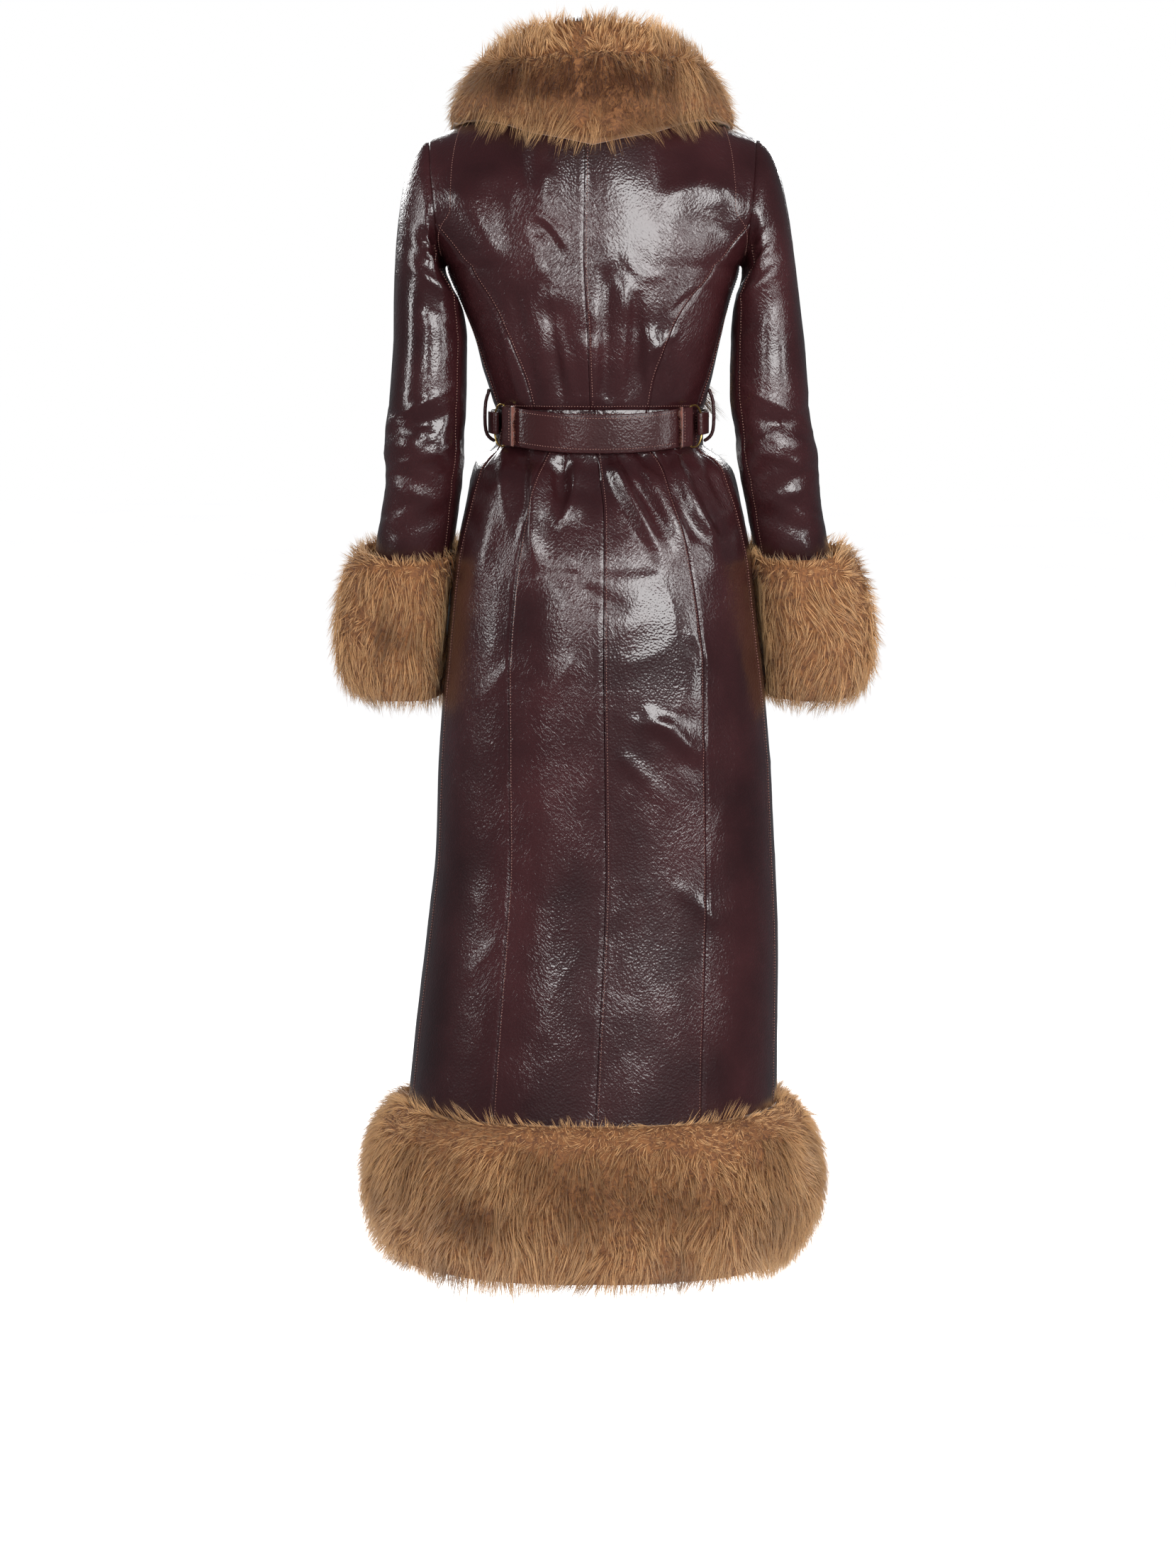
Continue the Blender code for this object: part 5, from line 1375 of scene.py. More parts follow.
class COAT_OT_topstitching(bpy.types.Operator):
    """Sews the topstitching beside the seams"""

    bl_idname = "coat.topstitching"
    bl_label = "Topstitching"

    def execute(self, context):
        settings = context.scene.coat_leather
        rise = settings.seam_plateau + ROW_LIFT

        def body_row(angle, height):
            return body_surface(angle, height, settings, rise)

        def row_beside(angle, height, side):
            """The row beside a seam, moved across it by the stitching's distance."""
            points = bare_body(angle + 0.5, height) - bare_body(angle - 0.5, height)
            a_degree = np.maximum(np.linalg.norm(points, axis=-1), 1e-5)
            return body_row(angle + side * SEAM_TO_ROW / a_degree, height)

        low = rows_between(WAIST_Z + 0.004 - ARMPIT_Z, 0.0, 0.006)
        bodice = np.concatenate([low[:-1], np.linspace(0.0, 0.985, 36)])
        armhole = np.concatenate([low[:-1], np.linspace(0.0, 0.215, 9)])
        skirt = rows_between(WAIST_Z - 0.004, HEM_Z + 0.004, 0.006) - ARMPIT_Z
        z = skirt + ARMPIT_Z
        back = [
            row_beside(angle_of(read("bodice", "centre", bodice)), bodice, -1),
            row_beside(angle_of(read("skirt", "centre", z)), skirt, -1),
        ]
        sides = []
        for name, side in SIDES:
            back.append(row_beside(angle_of(read("bodice", name, armhole)), armhole, -side))
            back.append(row_beside(angle_of(read("skirt", name, z)), skirt, -side))
            sides.append(row_beside(side * read("skirt", "side_angle", z), skirt, side))
            sides.append(row_beside(side * read("bodice", "side_angle", low), low, side))
        # Round the armholes
        heights = np.linspace(0.05, 0.97, 40)
        for _, side in SIDES:
            for turn, rows in ((1, back), (-1, sides)):
                edge = side * (90.0 - turn * 0.05)
                angle = np.full(len(heights), edge - side * turn * 1.5)
                rows.append(row_beside(angle, heights, -side * turn))
        waist = np.linspace(-64, 64, 60)
        for away in (WAIST_TO_ROW, -WAIST_TO_ROW):
            back.append(body_row(waist, np.full(len(waist), WAIST_Z + away - ARMPIT_Z)))
        arms = []
        u = np.concatenate([np.linspace(0.06, 1.0, 30)[:-1], np.linspace(1.0, 1.98, 44)])
        for _, side in SIDES:
            for angle in (BACK_SEAM_ANGLE + SLEEVE_ROW_ANGLE, 360 - BACK_SEAM_ANGLE - SLEEVE_ROW_ANGLE):
                arms.append(sleeve_surface(side, np.full(len(u), angle), u, settings, rise))
        add_stitches("topstitching_back", back, settings)
        add_stitches("topstitching_sides", sides, settings)
        add_stitches("topstitching_sleeves", arms, settings)
        return {"FINISHED"}


# The fur


@contextlib.contextmanager
def reshaping(mesh):
    """Opens a mesh for changes to its faces."""
    shape = bmesh.new()
    shape.from_mesh(mesh)
    yield shape
    shape.to_mesh(mesh)
    shape.free()


def merged_copy(node, name):
    """A CAD node's mesh as a new object, its loose triangles joined up."""
    made = linked(name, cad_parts[node].data.copy())
    made.data.materials.clear()
    with reshaping(made.data) as shape:
        bmesh.ops.remove_doubles(shape, verts=shape.verts[:], dist=1e-5)
        bmesh.ops.recalc_face_normals(shape, faces=shape.faces[:])
    return made


def apply_modifier(piece, kind, **settings):
    """Gives a piece a modifier with its settings, and applies it."""
    modifier = piece.modifiers.new(kind.lower(), kind)
    for name, value in settings.items():
        setattr(modifier, name, value)
    select_only(piece)
    bpy.ops.object.modifier_apply(modifier=modifier.name)
    piece.select_set(False)


def mesh_arrays(mesh):
    """A mesh's points, normals and triangles."""
    mesh.calc_loop_triangles()
    arrays = []
    for items, field, kind in (
        (mesh.vertices, "co", np.float32),
        (mesh.vertices, "normal", np.float32),
        (mesh.loop_triangles, "vertices", np.int32),
    ):
        values = np.empty(len(items) * 3, kind)
        items.foreach_get(field, values)
        arrays.append(values.reshape(-1, 3))
    points, normals, triangles = arrays
    return points.astype(float), normals.astype(float), triangles


def tree_of(mesh):
    """A mesh's faces, ready for places to be found on them."""
    mesh.calc_loop_triangles()
    corners = [vertex.co.copy() for vertex in mesh.vertices]
    return BVHTree.FromPolygons(corners, [tuple(face.vertices) for face in mesh.loop_triangles])


# The lowest and highest places of the hem band's hide and the cuffs'
HEM_HIDE_HEIGHTS = (-1.262, -1.106)
CUFF_HIDE_HEIGHTS = (-0.632, -0.524)


def hem_skin(points):
    """The nearest points of the hide inside the hem band."""
    middle = float(read("body", "middle_x", HEM_RING_Z))

    def turn_of(places):
        return np.degrees(np.arctan2(places[:, 0] - middle, places[:, 1]))

    level = np.full(len(points), HEM_RING_Z)
    turn = turn_of(points)
    angle = turn
    for _ in range(3):
        angle = angle + ((turn - turn_of(ring_point(angle, level)) + 180) % 360 - 180)
    ring = ring_point(angle, level)
    ring[:, 2] = np.clip(points[:, 2], *HEM_HIDE_HEIGHTS)
    return ring


def cuff_skin(side):
    """Finds the nearest points of the hide inside a cuff."""

    def nearest(points):
        z = np.clip(points[:, 2], *CUFF_HIDE_HEIGHTS)
        across = (read(side, "out_x", z) - side * points[:, 0]) / read(side, "half_width", z)
        back = (points[:, 1] - read(side, "y", z)) / read(side, "half_depth", z)
        ring = sleeve_ring(side, np.degrees(np.arctan2(back, across)), z)
        ring[:, 2] = z
        return ring

    return nearest


# How far the locks' tips stay off the bodice, and off the skirt
CLEARANCE = 0.003
SKIRT_CLEARANCE = 0.004


def coat_skin(nodes):
    """Finds the nearest points on the leather under a collar or trim, and keeps points off it."""
    trees = [tree_of(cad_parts[node].data) for node in nodes]

    def found(point):
        return min((tree.find_nearest(Vector(point)) for tree in trees), key=lambda hit: hit[3])

    def nearest(points):
        return np.array([found(point)[0] for point in points])

    def clear(points):
        moved = points.copy()
        for i, point in enumerate(points):
            place, normal = (np.array(part) for part in found(point)[:2])
            if np.dot(point - place, normal) < CLEARANCE and normal[1] * place[1] > 0:
                moved[i] = place + normal * CLEARANCE
        return moved

    return nearest, clear


def sample_surface(piece, count, chance):
    """Random points spread evenly over a mesh, with smooth normals."""
    points, normals, triangles = mesh_arrays(piece.data)
    corners = points[triangles]
    areas = np.linalg.norm(np.cross(corners[:, 1] - corners[:, 0], corners[:, 2] - corners[:, 0]), axis=1)
    chosen = chance.choice(len(triangles), count, p=areas / areas.sum())
    a, b = chance.random(count), chance.random(count)
    a, b = np.where(a + b > 1, 1 - a, a), np.where(a + b > 1, 1 - b, b)
    weights = np.stack([1 - a - b, a, b], -1)[..., None]
    return (corners[chosen] * weights).sum(1), unit((normals[triangles[chosen]] * weights).sum(1))


def clumped(tips, count, pull, chance):
    """The tips drawn towards the nearest of some of their own, so that locks end in points."""
    leaders = chance.choice(len(tips), count, replace=False)
    tree = KDTree(count)
    for i, leader in enumerate(leaders):
        tree.insert(tips[leader], i)
    tree.balance()
    nearest = np.array([tree.find(tip)[1] for tip in tips])
    strength = (pull * (0.5 + chance.random(count)))[nearest][:, None]
    return (tips[leaders[nearest]] - tips) * np.minimum(strength, 0.95)


# A lock's width at each of its rings, as a share of its greatest
TAPER = (1.0, 0.85, 0.6)


def add_strands(name, shapes, fur):
    """Locks of hair as slim closed strands, each with its shade.

    A shape holds the rings' centres along each strand, its width and its shades. The last centre is
    the tip.
    """
    points, triangles, colours, start = [], [], [], 0
    for centres, widths, shades in shapes:
        count, levels = centres.shape[:2]
        rings = levels - 1
        chance = np.random.default_rng(count)
        ahead = centres[:, -1] - centres[:, 0]
        aside = unit(np.cross(ahead, chance.normal(size=(count, 3))))
        other = unit(np.cross(ahead, aside))
        size = rings * 3 + 1
        block = np.empty((count, size, 3))
        along = np.empty((count, size))
        for level in range(rings):
            for corner in range(3):
                turned = corner * 2 * math.pi / 3
                spoke = aside * math.cos(turned) + other * math.sin(turned)
                wide = widths * TAPER[level] / 2
                block[:, level * 3 + corner] = centres[:, level] + spoke * wide[:, None]
                along[:, level * 3 + corner] = level / rings
        block[:, -1] = centres[:, -1]
        along[:, -1] = 1.0
        pattern = [(0, 2, 1)]
        for level in range(rings - 1):
            for k in range(3):
                a, b = level * 3 + k, level * 3 + (k + 1) % 3
                pattern += [(a, b, b + 3), (a, b + 3, a + 3)]
        last = (rings - 1) * 3
        pattern += [(last + k, last + (k + 1) % 3, size - 1) for k in range(3)]
        steps = (start + np.arange(count) * size)[:, None, None]
        triangles.append((np.array(pattern)[None] + steps).reshape(-1, 3))
        colour = np.ones((count, size, 4), np.float32)
        colour[..., 0] = along
        colour[..., 1:3] = shades[:, None, :]
        points.append(block.reshape(-1, 3))
        colours.append(colour.reshape(-1, 4))
        start += count * size
    piece = mesh_of(name, np.concatenate(points), np.concatenate(triangles))
    layer = piece.data.attributes.new("pile", "FLOAT_COLOR", "POINT")
    layer.data.foreach_set("color", np.concatenate(colours).ravel())
    return finish_piece(piece, fur)


# A fur piece: its node, its locks, how deep they are rooted, how long they lie, how far they swirl,
# how far they are drawn together, the seed, the meshes it is split into, and how freely the locks hang
# at its lower edge
FurPiece = namedtuple("FurPiece", "node strands depth length swirl pull seed parts fringe")
LOCKS_TO_A_CLUMP = 7

# A hide's wall, how close to the coat it lies, and how far into a thick pile it can be told
HIDE_WALL = 0.0015
HIDE_GAP = 0.0045
PILE_REACH = 0.030

# The wool fills the pile up to this far below its outer form
WOOL_BELOW = 0.012

# Locks grow where the form doesn't face the coat and the pile is this deep at least. They swirl and
# ruffle in patches of these sizes, and their tips are scattered.
FACES_COAT = 0.25
LEAST_PILE = 0.0030
SWIRL_SIZE = 0.060
RUFFLE_SIZE = 0.018
TIP_SCATTER = 0.0020

# Darker patches of hair where the back shows them; the collar's are painted shade, and its top is painted
# lighter
FurPatch = namedtuple("FurPatch", "x z half_width half_height amount")
FUR_PATCHES_AND_SHADE = {
    "fur_hem_band": (
        FurPatch(0.140, -1.200, 0.035, 0.030, 0.6),
        FurPatch(-0.090, -1.172, 0.060, 0.022, 0.5),
        FurPatch(0.020, -1.160, 0.030, 0.016, 0.3),
        FurPatch(-0.200, -1.215, 0.030, 0.030, 0.3),
        FurPatch(0.000, -1.190, 0.210, 0.030, 0.3),
    ),
    # Painted shade in a band across the collar's back and a fainter one below it; the last row paints its
    # top lighter, as light from above falls there
    "fur_shawl_collar": (
        FurPatch(0.005, 0.020, 0.090, 0.026, 1.7),
        FurPatch(0.000, -0.020, 0.110, 0.020, 0.3),
        FurPatch(0.000, 0.080, 0.140, 0.026, -0.8),
    ),
    "fur_cuff_left": (FurPatch(0.235, -0.575, 0.012, 0.040, 0.5),),
    "fur_cuff_right": (FurPatch(-0.200, -0.590, 0.012, 0.040, 0.5),),
    "fur_front_trim": (),
}


def patches_and_shade_at(points, facts):
    """How dark the hair is at places, from 0 to 1: random patches, and on the collar painted shade and a
    painted lighter top.
    """
    total = 0.5 * smoothstep((noise_at(points, 0.050, facts.seed + 7) - 0.48) / 0.34)
    for patch_and_shade in FUR_PATCHES_AND_SHADE[facts.node]:
        across = (points[:, 0] - patch_and_shade.x) / patch_and_shade.half_width
        up = (points[:, 2] - patch_and_shade.z) / patch_and_shade.half_height
        total = total + np.where(points[:, 1] > 0, patch_and_shade.amount * np.exp(-across * across - up * up), 0)
    return np.clip(total, 0.0, 1.0)


def add_hide(base, facts, skin, suede):
    """The fur's hide: the faces of its form that lie on the coat, given a wall."""
    flesh = linked(facts.node + "_hide", base.data.copy())
    with reshaping(flesh.data) as shape:
        centres = np.array([face.calc_center_median() for face in shape.faces])
        facing = np.array([face.normal for face in shape.faces])
        inwards = skin(centres) - centres
        gaps = np.linalg.norm(inwards, axis=1)
        towards = (facing * unit(inwards)).sum(1)
        on_coat = (gaps < HIDE_GAP) | ((gaps < PILE_REACH) & (towards > 0.55))
        shape.faces.ensure_lookup_table()
        far = [shape.faces[i] for i in np.nonzero(~on_coat)[0]]
        bmesh.ops.delete(shape, geom=far, context="FACES")
        bmesh.ops.reverse_faces(shape, faces=shape.faces[:])
    apply_modifier(flesh, "SOLIDIFY", thickness=HIDE_WALL, offset=1.0, use_even_offset=False)
    finish_piece(flesh, suede, 50)
    return flesh


def sink_wool(base, facts, skin, wool):
    """The wool under the hairs: the fur's form drawn in towards the hide, in uneven lumps."""
    points, _, _ = mesh_arrays(base.data)
    inwards = skin(points) - points
    deep = np.linalg.norm(inwards, axis=1)
    lumps = noise_at(points, 0.012, facts.seed)
    share = np.where(deep > 0.004, 0.16 + 0.12 * lumps, 0.0)[:, None]
    limit = np.minimum(1.0, WOOL_BELOW / np.maximum(deep * share[:, 0], 1e-6))[:, None]
    sunk = points + inwards * share * limit
    base.data.vertices.foreach_set("co", sunk.astype(np.float32).ravel())
    base.data.update()
    finish_piece(base, wool)
    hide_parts(facts.node)


def pile_places(base, facts, skin, chance):
    """Places all over the pile's outer form, but for where it faces the coat.

    Each comes with its way outwards, its nearest place on the hide, and its distance from there.
    """
    envelope, outward = sample_surface(base, facts.strands * 3, chance)
    nearest = skin(envelope)
    reach = np.linalg.norm(envelope - nearest, axis=1)
    facing_in = (outward * unit(nearest - envelope)).sum(1) * (reach < PILE_REACH)
    kept = np.nonzero((facing_in < FACES_COAT) & (reach > LEAST_PILE))[0][: facts.strands]
    return tuple(part[kept] for part in (envelope, outward, nearest, reach))


def grown_locks(facts, places, comb, clear, stray, chance):
    """The locks' roots, bends and tips: rooted in the wool, combed, and drawn into points."""
    envelope, outward, nearest, reach = places
    count = len(envelope)
    direction = unit(outward + 0.6 * (envelope - nearest) / np.maximum(reach, 1e-4)[:, None])
    depth = np.minimum(facts.depth * (0.7 + 0.5 * chance.random(count)), reach * 0.92)[:, None]
    swirl, ruffle = (
        stacked(*(noise_at(envelope, size, facts.seed + k) for k in seeds)) - 0.5
        for size, seeds in ((SWIRL_SIZE, (1, 2, 3)), (RUFFLE_SIZE, (4, 5, 6)))
    )
    flow = comb(envelope) + swirl * facts.swirl + ruffle * 0.9
    # Along the form, but hanging free at its edges
    lying_flow = flow - outward * (flow * outward).sum(1)[:, None]
    edge = facts.fringe * smoothstep((-outward[:, 2] - 0.10) / 0.45)
    edge = np.maximum(smoothstep((0.016 - reach) / 0.010), edge)[:, None]
    flow = lying_flow * (1 - edge) + (flow * 0.9 + lying_flow * 0.2) * edge
    length = facts.length * (0.65 + 0.7 * chance.random(count))[:, None] * (1 + 0.25 * edge)
    lying = length + (facts.depth - depth).clip(0) * 0.35
    roots = envelope - direction * depth - flow * lying * 0.45
    past = stray * (chance.random(count) ** 2 * 1.4 - 0.35)[:, None]
    tips = envelope + flow * lying * 0.55 + direction * past
    tips = tips + chance.normal(size=(count, 3)) * TIP_SCATTER
    bends = roots * 0.55 + envelope * 0.45 + direction * depth * 0.30
    tips = clear(tips + clumped(tips, max(20, count // LOCKS_TO_A_CLUMP), facts.pull, chance))
    return roots, bends, tips


def add_fur(facts, skin, comb, clear, settings):
    """One fur trim: its hide as a sheet, the wool under the hairs, and the long locks."""
    root, dark, middle, tip = (
        getattr(settings, name + "_colour") for name in ("root", "dark", "middle", "tip")
    )
    fur = material("long_haired_sheepskin", fur_material, root, dark, middle, tip)
    wool = material("sheepskin_underwool", underwool_material, root, middle)
    suede = material("suede_flesh_side", hide_material, settings.hide_colour)
    base = merged_copy(facts.node, facts.node + "_underwool")
    flesh = add_hide(base, facts, skin, suede)
    apply_modifier(base, "SUBSURF", levels=1, render_levels=1)
    chance = np.random.default_rng(facts.seed)
    places = pile_places(base, facts, skin, chance)
    sink_wool(base, facts, skin, wool)
    roots, bends, tips = grown_locks(facts, places, comb, clear, settings.stray, chance)
    envelope, count = places[0], len(places[0])
    widths = settings.strand_width * (0.55 + 0.9 * chance.random(count))
    # Each lock's own chance, and how dark its patch and the collar's painted shade make it
    shades = np.stack([chance.random(count), patches_and_shade_at(envelope, facts)], -1)
    # Every other lock is bent, and the rest run straight from a root halfway up
    straight = roots * 0.5 + bends * 0.5
    order = np.argsort(envelope[:, 0], kind="stable")
    for part, chosen in enumerate(np.array_split(order, facts.parts)):
        name = facts.node + "_pile" + (f"_{part + 1}" if facts.parts > 1 else "")
        shapes = []
        for some, rings in ((chosen[::2], (roots, bends, tips)), (chosen[1::2], (straight, tips))):
            centres = np.stack([ring[some] for ring in rings], 1)
            shapes.append((centres, widths[some], shades[some]))
        add_strands(name, shapes, fur)


def clear_of_skirt(points):
    """Points moved out sideways where they would lie inside the skirt."""
    z = np.clip(points[:, 2], HEM_Z, -0.2)
    middle = read("body", "middle_x", z)
    across = (points[:, 0] - middle) / (read("body", "half_width", z) + SKIRT_CLEARANCE)
    along = points[:, 1] / (body_depth(points[:, 1] > 0, z) + SKIRT_CLEARANCE)
    size = (abs(across) ** ROUNDNESS + abs(along) ** ROUNDNESS) ** (1 / ROUNDNESS)
    inside = (size < 1) & (points[:, 2] > HEM_Z)
    grow = np.where(inside, 1 / np.maximum(size, 0.3), 1.0)
    moved = points.copy()
    moved[:, 0] = middle + (points[:, 0] - middle) * grow
    moved[:, 1] = points[:, 1] * grow
    return moved


class COAT_OT_hem_fur(bpy.types.Operator):
    """Makes the fur band at the hem"""

    bl_idname = "coat.hem_fur"
    bl_label = "Hem fur"

    def execute(self, context):
        settings = context.scene.coat_fur
        facts = FurPiece("fur_hem_band", settings.hem_strands, 0.036, 0.024, 1.3, 0.45, 5, 2, 0.6)

        def comb(points):
            """Down, but outwards and up at the band's top edge."""
            up = smoothstep((points[:, 2] + 1.135) / 0.030)
            away = unit(points * np.array((1.0, 1.0, 0.0)))
            return away * (0.5 * up)[:, None] + stacked(0.10, 0.0, -1.0 + 1.5 * up)

        add_fur(facts, hem_skin, comb, clear_of_skirt, settings)
        return {"FINISHED"}


class COAT_OT_cuff_fur(bpy.types.Operator):
    """Makes both fur cuffs"""

    bl_idname = "coat.cuff_fur"
    bl_label = "Cuff fur"

    def execute(self, context):
        settings = context.scene.coat_fur
        strands = settings.cuff_strands
        for name, side in SIDES:
            facts = FurPiece(f"fur_cuff_{name}", strands, 0.034, 0.023, 1.5, 0.5, 20 + side, 1, 0.25)

            def comb(points, side=side):
                """Down, but outwards and up at the cuff's top edge."""
                up = smoothstep((points[:, 2] + 0.530) / 0.045)
                return stacked(side * (0.35 * up + 0.1), 0.0, -1.0 + 1.6 * up)

            add_fur(facts, cuff_skin(side), comb, clear_of_skirt, settings)
        return {"FINISHED"}


class COAT_OT_collar_fur(bpy.types.Operator):
    """Makes the fur shawl collar"""

    bl_idname = "coat.collar_fur"
    bl_label = "Collar fur"

    def execute(self, context):
        settings = context.scene.coat_fur
        facts = FurPiece("fur_shawl_collar", settings.collar_strands, 0.034, 0.026, 1.0, 0.5, 40, 1, 0.9)

        def comb(points):
            """Away from the neck: down below the roll, and up above it, most of all at its sides."""
            up = smoothstep((points[:, 2] - 0.030) / 0.030)
            away = unit(points * np.array((1.0, 1.0, 0.0)))
            rise = (1.5 * up - 0.8) * (1 + 0.6 * bell(abs(points[:, 0]) - 0.095, 0.045))
            return away * (0.7 - 0.3 * up)[:, None] + stacked(0.0, 0.0, rise)

        parts = ("back_centre_left", "back_centre_right", "front_left", "front_right")
        skin, clear = coat_skin(["bodice_" + part for part in parts])
        add_fur(facts, skin, comb, clear, settings)
        return {"FINISHED"}


class COAT_OT_trim_fur(bpy.types.Operator):
    """Makes the fur along the front edge"""

    bl_idname = "coat.trim_fur"
    bl_label = "Front trim fur"

    def execute(self, context):
        settings = context.scene.coat_fur
        facts = FurPiece("fur_front_trim", settings.trim_strands, 0.032, 0.022, 1.2, 0.45, 60, 1, 0.6)

        def comb(points):
            """Down, and out to both sides of the trim's middle line."""
            across = np.clip((points[:, 0] + 0.095) / 0.04, -1, 1)
            return stacked(0.7 * across, 0.0, -0.7)

        skin, clear = coat_skin(["skirt_front_left"])
        add_fur(facts, skin, comb, clear, settings)
        return {"FINISHED"}


# The belt


def quads_of(piece):
    """Joins a merged copy's triangles back into four-sided faces."""
    limits = {"angle_face_threshold": math.radians(40), "angle_shape_threshold": math.radians(60)}
    with reshaping(piece.data) as shape:
        bmesh.ops.join_triangles(shape, faces=shape.faces[:], **limits)


def seen_side(piece):
    """Finds points and normals of a finished piece, as it is seen level from behind."""
    tree = tree_of(piece.data)

    def seen(xs, zs):
        """Where nothing is met, the last place met is repeated."""
        points, normals = [], []
        for x, z in zip(xs, zs):
            place, normal, _, _ = tree.ray_cast(Vector((x, 1.0, z)), Vector((0.0, -1.0, 0.0)))
            if place:
                points.append(tuple(place))
                normals.append(tuple(normal))
            elif points:
                points.append(points[-1])
                normals.append(normals[-1])
        return np.array(points), np.array(normals)

    return seen


def belt_middle(x):
    """The height of the belt's middle line at the back."""
    return BELT_Z - BELT_SAG * np.maximum(1 - ((x - BELT_MIDDLE_X) / BELT_HALF_WIDTH) ** 2, 0)


def tail_edge(seen, side):
    """Where the belt's folded-back end stops, found by the step up on to it."""
    xs = BELT_MIDDLE_X + side * np.arange(0.055, 0.110, 0.00025)
    points, _ = seen(xs, belt_middle(xs))
    return xs[np.argmax(np.diff(points[:, 1])) + 1]


# The torn strip at each raw end: its rows and columns of points, how wide it is at most, its bow
# and its wall, and how many loose fibres it has, and how thick
FRAY_ROWS = 40
FRAY_COLUMNS = 6
FRAY_WIDTH = 0.0050
FRAY_BOW = 0.0012
FRAY_WALL = 0.0009
FIBRES = 260
FIBRE_WIDTH = 0.00035


class COAT_OT_belt(bpy.types.Operator):
    """Makes the belt's straps, keeper and loops with turned edges, stitching and frayed ends"""

    bl_idname = "coat.belt"
    bl_label = "Belt"

    def execute(self, context):
        belt = context.scene.coat_belt
        settings = context.scene.coat_leather
        lit = belt.leather_colour
        leather = material("coated_belt_leather", leather_material, shade_of(lit, 0.62), lit, settings, 0.35)
        sharp = {"limit_method": "ANGLE", "angle_limit": math.radians(50)}
        for part in ("back", "strap_left", "strap_right", "keeper", "loop_left", "loop_right"):
            node = "belt_" + part
            piece = merged_copy(node, node + "_leather")
            quads_of(piece)
            apply_modifier(piece, "BEVEL", width=belt.edge_round, segments=2, **sharp)
            apply_modifier(piece, "SUBSURF", levels=1, render_levels=1)
            if "loop" in node:
                apply_modifier(piece, "DISPLACE", strength=belt.loop_padding, mid_level=0.0)
            finish_piece(piece, leather, 45)
            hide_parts(node)
        seen = seen_side(bpy.data.objects["belt_back_leather"])
        self.add_stitching(settings, seen)
        self.add_fray(belt, seen)
        return {"FINISHED"}

    def add_stitching(self, settings, seen):
        """Rows along both edges of the belt, and across its folded ends."""
        left, right = (tail_edge(seen, side) for _, side in SIDES)
        xs = np.linspace(right + 0.005, left - 0.005, 60)
        rows = [seen(xs, belt_middle(xs) + side * (BELT_HEIGHT / 2 - BELT_EDGE_TO_ROW)) for side in (1, -1)]
        ups = np.linspace(-0.0185, 0.0185, 20)
        for side, edge in ((1, left), (-1, right)):
            rows.append(seen(np.full(20, edge + side * BELT_END_TO_ROW), belt_middle(edge) + ups))
        rows = [(points + normals * ROW_LIFT, normals) for points, normals in rows]
        add_stitches("topstitching_belt", rows, settings)

    def add_fray(self, belt, seen):
        """The raw ends' torn edge, as a ragged strip with loose fibres."""
        colour = belt.fray_colour
        raw = material("raw_split_leather", hide_material, colour)
        dark = shade_of(colour, 0.5)
        fibres = material("raw_leather_fibres", fur_material, dark, dark, colour, shade_of(colour, 1.4))
        chance = np.random.default_rng(71)
        for name, side in SIDES:
            edge = tail_edge(seen, side)
            ups = np.linspace(-BELT_HEIGHT / 2 - 0.0006, BELT_HEIGHT / 2 + 0.0006, FRAY_ROWS)
            rim, _ = seen(np.full(FRAY_ROWS, edge + side * 0.0010), belt_middle(edge) + ups * 0.95)
            foot, _ = seen(np.full(FRAY_ROWS, edge - side * 0.0040), belt_middle(edge) + ups * 0.92)
            rim[:, 2] = belt_middle(edge) + ups
            width = FRAY_WIDTH * noise_at(rim, 0.007, 73 + side) - 0.0006
            width = np.maximum(width + chance.normal(size=FRAY_ROWS) * 0.0004, 0.0002)
            share = np.linspace(0, 1, FRAY_COLUMNS)[None, :, None]
            torn = rim.copy()
            torn[:, 0] -= side * (width + 0.0010)
            torn[:, 1] = foot[:, 1] + 0.0012
            bow = np.zeros((1, FRAY_COLUMNS, 3))
            bow[..., 1] = FRAY_BOW * np.sin(math.pi * share[..., 0])
            outer = rim[:, None] * (1 - share**2) + torn[:, None] * share**2 + bow
            outer[:, :, 0] = rim[:, None, 0] + (torn - rim)[:, None, 0] * share[..., 0]
            outer[..., 1] += 0.0006
            out = np.zeros_like(outer)
            out[..., 0], out[..., 1] = side * -0.35, 0.94
            strip = wall_mesh(f"belt_fray_{name}", outer, outer - out * FRAY_WALL)
            finish_piece(strip, raw, 60)
            row = chance.integers(0, FRAY_ROWS, FIBRES)
            along = chance.random(FIBRES)[:, None]
            roots = outer[row, 1] * (1 - along) + outer[row, -1] * along
            roots[:, 2] += chance.normal(size=FIBRES) * 0.0006
            lean = stacked(-side, 0.3, chance.normal(size=FIBRES) * 0.5)
            tips = roots + unit(lean) * (belt.fray * (0.25 + 0.5 * chance.random(FIBRES)))[:, None]
            shades = np.stack([chance.random(FIBRES), 0.3 * chance.random(FIBRES)], -1)
            widths = FIBRE_WIDTH * (0.7 + chance.random(FIBRES))
            shape = np.stack([roots, tips], 1), widths, shades
            add_strands(f"belt_fray_fibres_{name}", [shape], fibres)


class COAT_OT_rings(bpy.types.Operator):
    """Makes the round brass wire of the D-rings and the front ring"""

    bl_idname = "coat.rings"
    bl_label = "Brass rings"

    def execute(self, context):
        belt = context.scene.coat_belt
        brass = material("polished_brass_wire", brass_material, belt.brass_colour)
        for node in ("d_ring_left", "d_ring_right", "front_ring"):
            piece = merged_copy(node, node + "_wire")
            quads_of(piece)
            apply_modifier(piece, "SUBSURF", levels=2, render_levels=2)
            finish_piece(piece, brass)
            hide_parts(node)
        return {"FINISHED"}


# The studio: the floor's size, the camera's film in millimetres, and the room's cool white
FLOOR_SIZE = 60.0
SENSOR_WIDTH = 36.0
ROOM_COLOUR = (0.90, 0.93, 1.0, 1.0)

